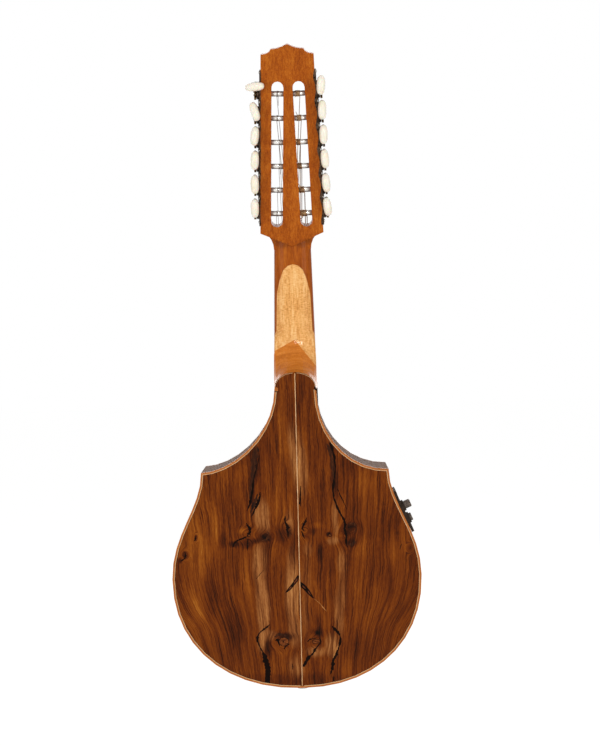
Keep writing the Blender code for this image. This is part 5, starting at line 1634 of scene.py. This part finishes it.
@dataclass
class TuningMachine:
    """One button with its worm, and one roller with its gear and the string wound on it."""

    place: HeadFrame
    side: Side
    number: int
    button_turn: float
    roller_radius: float = 0.0030
    waist_share: float = 0.93
    # Where the roller's rounded end lies, where its waists do, and where it meets the gear.
    roller_x: tuple[float, ...] = (-0.0284, -0.0280, -0.0252, -0.0248, -0.0124, -0.0120, 0.0002, 0.0048)
    gear_teeth: int = 14
    gear_thickness: float = 0.0024
    gear_pitch: float = 0.0062
    # A tooth's flank from its root to its tip, as the radius and half its thickness there.
    gear_flank: tuple[Flat, ...] = ((0.0052, 0.00078), (0.0062, 0.00055), (0.00685, 0.00026))
    gear_bevel: Flat = (0.0003, 0.965)
    gear_screw_radius: float = 0.0026
    gear_screw_height: float = 0.0011
    gear_screw_dome: tuple[Flat, ...] = ((-0.3, 1.0), (0.0, 1.0), (0.7, 0.908), (1.0, 0.86))
    gear_screw_slot: Flat = (0.00025, 0.9)
    worm_tip: float = 0.0033
    worm_root: float = 0.0018
    worm_half_length: float = 0.0058
    worm_turns: float = 2.6
    worm_steps: int = 78
    worm_fade: int = 6
    thread_half: Flat = (0.00085, 0.0003)
    shaft_radius: float = 0.0015
    # The shaft's collar under the button, as places along it and radii.
    collar: tuple[Flat, ...] = (
        (0.0166, 0.0026), (0.0186, 0.0026), (0.0192, 0.0019), (0.0225, 0.0018),
    )
    button_half_length: float = 0.0105
    button_half_thickness: float = 0.00475
    button_start: float = 0.0215
    button_end: float = 0.0345
    button_steps: int = 12
    # How the button's size swells along the shaft, its least share at each end, and its squareness.
    button_swell: Flat = (2.6, 0.42)
    button_ends: Flat = (0.30, 0.42)
    button_square: Flat = (0.75, 0.78)
    washer: tuple[Flat, ...] = ((0.0204, 0.86), (0.0207, 0.97), (0.0217, 0.97), (0.0220, 0.86))
    winding_steps: int = 72
    winding_room: float = 0.0246
    winding_step_least: float = 0.0007
    # How far apart the turns lie, in radii of the string.
    winding_step: float = 2.1
    tail_steps: int = 14
    tail_curl: Flat = (0.0011, 4.2)
    tail_share: float = 0.9
    turns_most: ClassVar[dict[Side, float]] = {Side.BASS: 7.3, Side.TREBLE: 3.3}
    # Which way each string's loose end stands up, how long it is in millimetres, and its curl.
    tails: ClassVar[dict[tuple[Side, int], Place]] = {
        (Side.BASS, 6): (-1, 2.0, 0.8),
        (Side.BASS, 5): (1, 5.5, 0.5),
        (Side.BASS, 4): (1, 2.5, -0.6),
        (Side.BASS, 3): (1, 6.5, 0.4),
        (Side.BASS, 2): (1, 6.0, 0.6),
        (Side.BASS, 1): (-1, 5.0, 1.9),
        (Side.TREBLE, 6): (-1, 11.0, 0.2),
        (Side.TREBLE, 3): (-1, 9.0, 0.5),
    }

    @property
    def name(self) -> str:
        """The machine's name in node names."""
        return f"tuner_{self.side.label}_{self.number}"

    def roller_frame(self) -> Matrix:
        """The roller's frame: X along it and out of the head's side."""
        return self.place.side(self.side, 0.0, -self.place.roller_depth, self.place.height(self.number))

    def worm(self) -> Solid:
        """The shaft with its thread and the collar under the button.

        Returns:
            The worm on its own axis.
        """
        r, root, half = self.shaft_radius, self.worm_root, self.worm_half_length
        middle = self.place.roller_depth
        profile = [(0.0010, r * 0.7), (0.0014, r), (middle - half, r), (middle - half, root)]
        profile += [(middle + half, root), (middle + half, r), (0.0164, r), *self.collar]
        pitch = 2 * math.pi * self.gear_pitch / self.gear_teeth
        (wide, thin), low, rings = self.thread_half, root - 0.0002, []
        for i in range(self.worm_steps + 1):
            turns = self.worm_turns * (i / self.worm_steps - 0.5)
            angle = -math.pi / 2 + 2 * math.pi * turns
            fade = min(1.0, i / self.worm_fade, (self.worm_steps - i) / self.worm_fade)
            crest = root + (self.worm_tip - root) * max(fade, 0.05)
            thread = ((-wide, low), (-thin, crest), (thin, crest), (wide, low))
            across, up, along = math.cos(angle), math.sin(angle), middle + pitch * turns
            rings.append([(out * across, -along - off, out * up) for off, out in thread])
        return merged([turned(profile, 24).moved(OUT_OF_BACK), loft(rings)])

    def bean(self, rows: Sequence[Flat], square: Flat = (1.0, 1.0)) -> Solid:
        """A shape of oval slices on the button's shaft, at the angle that the button has at rest.

        Args:
            rows: Pairs of a place along the shaft and a share of the button's size.
            square: The power that squares the oval off across and along it.

        Returns:
            The shape on the worm's axis.
        """
        rest = math.radians(self.button_turn)
        rings = []
        for along, share in rows:
            ring = []
            for c, s in oval(0.0, 0.0, 1.0, 1.0, 36):
                flat = self.button_half_thickness * share * math.copysign(abs(c) ** square[0], c)
                long = self.button_half_length * share * math.copysign(abs(s) ** square[1], s)
                x = flat * math.cos(rest) - long * math.sin(rest)
                ring.append((x, -along, flat * math.sin(rest) + long * math.cos(rest)))
            rings.append(ring)
        return loft(rings)

    def button(self) -> Solid:
        """The oval button: a swollen bean with a soft rim.

        Returns:
            The button on the worm's axis.
        """
        (flat, full), (inner, outer), rows = self.button_swell, self.button_ends, []
        for i in range(self.button_steps + 1):
            share = i / self.button_steps
            swell = max(1 - abs(2 * share - 1) ** flat, 0.0) ** full
            along = self.button_start + (self.button_end - self.button_start) * share
            rows.append((along, max(swell, inner if share < 0.5 else outer)))
        return self.bean(rows, self.button_square)

    def gear(self) -> Solid:
        """The worm gear on the roller's end.

        Returns:
            The gear on the roller's axis.
        """
        outline = []
        tooth = [(radius, -half) for radius, half in self.gear_flank] + list(self.gear_flank[::-1])
        for i in range(self.gear_teeth):
            middle = math.pi / 2 + 2 * math.pi / self.gear_teeth * (i + 0.5)
            for radius, half in tooth:
                angle = middle + half / radius
                outline.append((radius * math.cos(angle), radius * math.sin(angle)))
        half, rings = self.gear_thickness / 2, []
        bevel, small = self.gear_bevel
        for shift, share in ((-half, small), (-half + bevel, 1.0), (half - bevel, 1.0), (half, small)):
            rings.append([(self.place.gear_x + shift, y * share, z * share) for y, z in outline])
        return loft(rings)

    def post(self) -> Solid:
        """The roller itself, with a waist at each slot wall and a rounded end.

        Returns:
            The roller on its own axis.
        """
        r, waist = self.roller_radius, self.roller_radius * self.waist_share
        radii = (r * 0.80, waist, waist, r, r, waist, waist, r)
        return turned(list(zip(self.roller_x, radii))).moved(ALONG_X)

    def gear_screw(self) -> Solid:
        """The slotted head of the gear's screw.

        Returns:
            The screw's head on the roller's axis.
        """
        foot, rows = self.place.gear_x + self.gear_thickness / 2, []
        for share, swell in self.gear_screw_dome:
            rows.append((foot + self.gear_screw_height * share, self.gear_screw_radius * swell))
        return slotted_head(rows, *self.gear_screw_slot, 10)

    def wind(self, node: str, radius: float, wire: Finish) -> None:
        """Winds a string on the roller, with the short end that sticks out of it.

        Args:
            node: The string's CAD node.
            radius: The string's radius.
            wire: What it is made of.
        """
        points = [v.co for v in frame["nodes"][node].data.vertices]
        top = max(p.z for p in points)
        upper = [p for p in points if p.z > top - 0.0006]
        here = self.roller_frame()
        start = here.inverted() @ (sum(upper, Vector()) / len(upper))
        reach = self.roller_radius + radius
        first = math.atan2(start.z, start.y)
        step = max(self.winding_step * radius, self.winding_step_least)
        turns = min(self.turns_most[self.side], (start.x + self.winding_room) / step)
        path = []
        for i in range(self.winding_steps + 1):
            part = turns * i / self.winding_steps
            angle = first - 2 * math.pi * part
            place = (start.x - step * part, reach * math.cos(angle), reach * math.sin(angle))
            path.append(Vector(place))
        up, length, curl = self.tails.get((self.side, self.number), (1, 2.5, 0.3))
        (wide, fast), tail = self.tail_curl, [path[-1]]
        for i in range(1, self.tail_steps + 1):
            share = i / self.tail_steps
            x = path[-1].x + wide * curl * math.sin(fast * share)
            rise = up * (reach * 0.5 + length * MM * share)
            tail.append(Vector((x, -reach * (1 - 0.3 * share), rise)))
        shells = [tube(path, radius), tube(tail, radius * self.tail_share)]
        name = f"winding_{self.side.label}_{self.number}"
        add_piece(name, shells, wire, "string_wire", f"{self.name}_roller", place=here)

    def build(self) -> None:
        """Builds the button, worm, gear, roller and screw."""
        height = self.place.height(self.number) + self.place.worm_offset
        spin = self.place.side(self.side, self.place.gear_x, 0.0, height)
        knob, roller, wind = f"{self.name}_knob", f"{self.name}_roller", self.roller_frame()
        rows = (
            ("worm", self.worm(), NICKEL, "plated_steel", knob, [knob], spin, 35.0),
            ("button", self.button(), IVORY_PLASTIC, "ivory_plastic", knob, [knob], spin, 60.0),
            ("washer", self.bean(self.washer), AGED_STEEL, "aged_steel", knob, (), spin, 35.0),
            ("gear", self.gear(), BRASS, "plated_steel", roller, [roller], wind, 35.0),
            ("post", self.post(), NICKEL, "plated_steel", roller, [roller], wind, 35.0),
            ("gear_screw", self.gear_screw(), NICKEL, "plated_steel", roller, (), wind, 35.0),
        )
        for name, solid, *rest in rows:
            add_piece(f"{self.name}_{name}", [solid], *rest)


@dataclass
class Machines:
    """The two sets of six tuning machines, and the strings wound on them."""

    place: HeadFrame
    button_turns: ClassVar[dict[Side, tuple[float, ...]]] = {
        Side.BASS: (5, 3, 2, -2, -3, -6),
        Side.TREBLE: (-1, -2, 2, 5, -18, 83),
    }
    # From the thinnest course to the thickest, which starts at the treble side.
    course_radii: tuple[float, ...] = (0.00025, 0.00025, 0.00030, 0.00035, 0.00042, 0.00050)
    first_wrapped: int = 3

    def build(self) -> None:
        """Builds the twelve machines, then dresses and winds the twelve strings."""
        machines = {}
        for side in Side:
            for i, turn in enumerate(self.button_turns[side]):
                machines[side, i] = TuningMachine(self.place, side, i + 1, turn)
                machines[side, i].build()
        for side in Side:
            for course in range(1, 4):
                gauge = 2 + course if side is Side.BASS else 3 - course
                wire = WRAPPED_WIRE if gauge >= self.first_wrapped else PLAIN_WIRE
                for i, member in enumerate(("outer", "inner")):
                    node = f"string_{side.label}_{course}_{member}"
                    dress({node: wire})
                    machine = machines[side, 2 * (3 - course) + i]
                    machine.wind(node, self.course_radii[gauge], wire)


# Bridge, preamp and jack.


@dataclass
class Bridge:
    """The bridge with its saddle, bone strips and the strings' end beads."""

    tie_z: float = -0.3495
    strip_z: Flat = (-0.3462, -0.3524)
    strip_half: Flat = (0.0335, 0.0006)
    strip_y: Flat = (0.0072, 0.0076)
    bead: tuple[Flat, ...] = ((-0.0011, 0.0006), (-0.0008, 0.0009), (0.0008, 0.0009), (0.0011, 0.0006))
    bead_y: float = 0.0086
    saddle_spacing: float = 0.0094
    pair_gap: float = 0.0012

    def build(self) -> None:
        """Dresses the bridge and adds its trim."""
        dress({"bridge": ROSEWOOD, "saddle": BONE})
        x, half = self.strip_half
        strips = []
        for z in self.strip_z:
            low, high = z - half, z + half
            strips.append(slab([(-x, low), (x, low), (x, high), (-x, high)], *self.strip_y))
        add_piece("bridge_bone_strips", strips, BONE, "bone")
        beads = []
        for sign in (-1, 1):
            for course in range(3):
                for pair in (-1, 1):
                    x = sign * ((course + 0.5) * self.saddle_spacing + pair * self.pair_gap)
                    place = Matrix.Translation((x, self.bead_y, self.tie_z)) @ ALONG_X
                    beads.append(turned(self.bead, 12).moved(place))
        add_piece("string_beads", beads, BRASS, "string_wire")


@dataclass
class Electrics:
    """The preamp's panel and its two fluted knobs in the bass rib, and the output jack."""

    knobs: tuple[tuple[str, float], ...] = (("volume_knob", 0.0084), ("tone_knob", 0.0036))
    knob_face: float = 0.0041
    knob_radius: float = 0.0047
    knob_gap: float = 0.00035
    spindle_radius: float = 0.0024
    spindle_depth: float = 0.0064
    flute_depth: float = 0.00035
    flutes: int = 18
    well_radius: float = 0.0064
    well_y: Flat = (0.0028, 0.0052)
    mark_x: Flat = (0.0008, 0.0034)
    mark_half: float = 0.0003
    mark_z: Flat = (-0.0003, 0.00005)
    screw: tuple[Flat, ...] = ((-0.0010, 0.0017), (0.0003, 0.0017), (0.0007, 0.0012), (0.0008, 0.0006))
    screw_inset: float = 0.0032
    screw_y: float = 0.0148
    screw_seat: float = 0.0012
    # How far out of the housing's inner side its panel starts.
    panel_x: float = 0.0275
    nut_z: float = -0.5015
    nut: tuple[Flat, ...] = ((-0.0030, 0.0052), (-0.0026, 0.0060), (-0.0008, 0.0060), (-0.0006, 0.0054))

    def knob_axis(self, node: str) -> Matrix:
        """A knob's frame from its joint: Z out of the rib.

        Args:
            node: The knob's node.

        Returns:
            The place and direction of its spindle.
        """
        joint = next(j for j in frame["joints"] if j["child"] == node)
        out = Vector(joint["axis"]).normalized()
        side = Vector((0.0, 1.0, 0.0))
        turn = Matrix((out.cross(side).normalized(), side, out)).transposed().to_4x4()
        return Matrix.Translation(joint["pos_m"]) @ turn

    def fluted(self, height: float) -> Solid:
        """A knob with fine flutes round its skirt, on its shaft.

        Args:
            height: How tall the cap is.

        Returns:
            The cap standing on its spindle.
        """
        face, r, deep = self.knob_face, self.knob_radius, self.flute_depth
        profile = [
            (face - self.spindle_depth, self.spindle_radius, 0.0),
            (face, self.spindle_radius, 0.0),
            (face, 0.97 * r, 0.0),
            (face + 0.0004, r, 0.0),
            (face + 0.0010, r, deep),
            (face + height * 0.86, r * 0.97, deep),
            (face + height * 0.95, r * 0.92, 0.0001),
            (face + height, r * 0.80, 0.0),
        ]
        rings = []
        turns = [2 * math.pi * i / (self.flutes * 4) for i in range(self.flutes * 4)]
        for along, radius, depth in profile:
            reach = [radius - depth * (0.5 - 0.5 * math.cos(self.flutes * t)) for t in turns]
            rings.append([(a * math.cos(t), a * math.sin(t), along) for a, t in zip(reach, turns)])
        return loft(rings)

    def build(self) -> None:
        """Dresses the panel and jack and builds the knobs, screws and nut."""
        dress({"preamp_housing": BLACK_PLASTIC, "output_jack": NICKEL})
        near, far, half = *self.mark_x, self.mark_half
        outline = [(near, -half), (far, -half), (far, half), (near, half)]
        radii = (self.knob_radius + self.knob_gap, self.well_radius)
        hole, rim = (oval(0.0, 0.0, r, r, 48) for r in radii)
        well = ring_band(rim, hole, *self.well_y)
        for node, height in self.knobs:
            here = self.knob_axis(node)
            cap = self.fluted(height)
            add_piece(f"{node}_cap", [cap], KNOB_PLASTIC, "black_plastic", node, [node], here)
            add_piece(f"{node}_well", [well], BLACK_PLASTIC, "black_plastic", place=here @ OUT_OF_BACK)
            face = self.knob_face + height
            mark = loft([[(x, y, face + z) for x, y in outline] for z in self.mark_z])
            add_piece(f"{node}_mark", [mark], BONE, "bone", node, place=here)
        self.build_panel_screws()
        low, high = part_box("output_jack")
        nut = turned(self.nut, 6)
        place = Matrix.Translation((0.0, (low.y + high.y) / 2, self.nut_z))
        add_piece("jack_nut", [nut], NICKEL, "plated_steel", place=place, crease=20.0)

    def build_panel_screws(self) -> None:
        """Four small screws in the panel's corners."""
        low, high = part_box("preamp_housing")
        turn = self.knob_axis("tone_knob").to_3x3().to_4x4()
        points = [v.co for v in frame["nodes"]["preamp_housing"].data.vertices]
        face = [p for p in points if p.x > low.x + self.panel_x]
        screws = []
        for z in (high.z - self.screw_inset, low.z + self.screw_inset):
            near = sorted(face, key=lambda p: abs(p.z - z))[:6]
            x = max(p.x for p in near) - self.screw_seat
            for off in (-self.screw_y, self.screw_y):
                place = Matrix.Translation((x, (low.y + high.y) / 2 + off, z)) @ turn
                screws.append(turned(self.screw, 16).moved(place))
        add_piece("panel_screws", screws, AGED_STEEL, "aged_steel")


# Studio.


@dataclass
class Studio:
    """White surroundings, a pale floor below the hanging instrument, soft lamps and the camera."""

    aim: Place = (0.0058, -0.071, -0.151)
    distance: float = 1.48
    elevation: float = math.radians(2.4)
    azimuth: float = math.radians(0.6)
    roll: float = math.radians(1.38)
    lens_mm: float = 64.93
    sensor_mm: float = 36.0
    clip: Flat = (0.05, 50.0)
    floor_z: float = -0.78
    floor_half: float = 9.0
    room: float = 0.485
    lit: Place = (0.0, -0.03, -0.25)
    lamps: tuple[tuple[str, Place, float, float], ...] = (
        ("key", (0.10, -1.70, 0.42), 0.07, 3.8),
        ("fill_left", (-1.5, -1.6, -0.1), 1.2, 11.5),
        ("fill_right", (1.5, -1.6, -0.1), 1.2, 11.5),
        ("top", (0.0, 0.2, 1.9), 1.4, 5.8),
        ("front", (0.0, 2.2, 0.4), 1.6, 14.5),
    )

    def build(self) -> None:
        """Builds the world, floor, lamps and camera."""
        self.build_world()
        self.build_floor()
        self.build_lamps()
        self.build_camera()
        bpy.context.scene.view_settings.view_transform = "Standard"

    def build_world(self) -> None:
        """A plain white room: full white where it is seen, softer where it lights."""
        world = bpy.data.worlds.new("white_room")
        bpy.context.scene.world = world
        world.use_nodes = True
        world.node_tree.nodes.clear()
        graph = Graph(world.node_tree)
        strength = graph.spread(graph.looked_at(), (0.0, 1.0), (self.room, 1.0))
        background = graph.add("Background", {"Color": WHITE, "Strength": strength})
        graph.add("OutputWorld", {"Surface": background.outputs[0]})

    def build_floor(self) -> None:
        """A wide pale floor that keeps a faint shadow of the object."""
        mesh = bpy.data.meshes.new("floor")
        half = self.floor_half
        corners = ((-half, -half), (half, -half), (half, half), (-half, half))
        mesh.from_pydata([(x, y, self.floor_z) for x, y in corners], [], [[0, 1, 2, 3]])
        mesh.materials.append(PAPER.material())
        floor = bpy.data.objects.new("floor", mesh)
        bpy.context.scene.collection.objects.link(floor)

    def build_lamps(self) -> None:
        """A soft key high behind the camera, a wide fill on each side, one above and one in front."""
        for name, place, size, power in self.lamps:
            lamp = bpy.data.lights.new(name, "AREA")
            lamp.size = size
            lamp.energy = power
            holder = bpy.data.objects.new(name, lamp)
            holder.location = place
            holder.rotation_mode = "QUATERNION"
            holder.rotation_quaternion = (Vector(self.lit) - Vector(place)).to_track_quat("-Z", "Y")
            bpy.context.scene.collection.objects.link(holder)

    def build_camera(self) -> None:
        """The photograph's camera: a little above the middle, with the instrument leaning a hair."""
        turn = Matrix.Rotation(self.azimuth, 4, "Z") @ Matrix.Rotation(-self.elevation, 4, "X")
        turn = turn @ Matrix.Rotation(self.roll, 4, "Y") @ OUT_OF_BACK
        back = Matrix.Translation((0.0, 0.0, self.distance))
        data = bpy.data.cameras.new("camera")
        data.lens = self.lens_mm
        data.sensor_width = self.sensor_mm
        data.clip_start, data.clip_end = self.clip
        camera = bpy.data.objects.new("camera", data)
        camera.matrix_world = Matrix.Translation(self.aim) @ turn @ back
        bpy.context.scene.collection.objects.link(camera)
        bpy.context.scene.camera = camera


def main() -> None:
    """Builds the studio and the instrument, sub-assembly by sub-assembly."""
    logging.basicConfig(level=logging.INFO, format="%(name)s: %(message)s")
    place = HeadFrame()
    parts = (Studio(), Body(), BackFigure(), Neck(), Head(place), Machines(place))
    for part in (*parts, Bridge(), Electrics()):
        LOG.info("building %s", type(part).__name__)
        part.build()


if __name__ == "__main__":
    main()
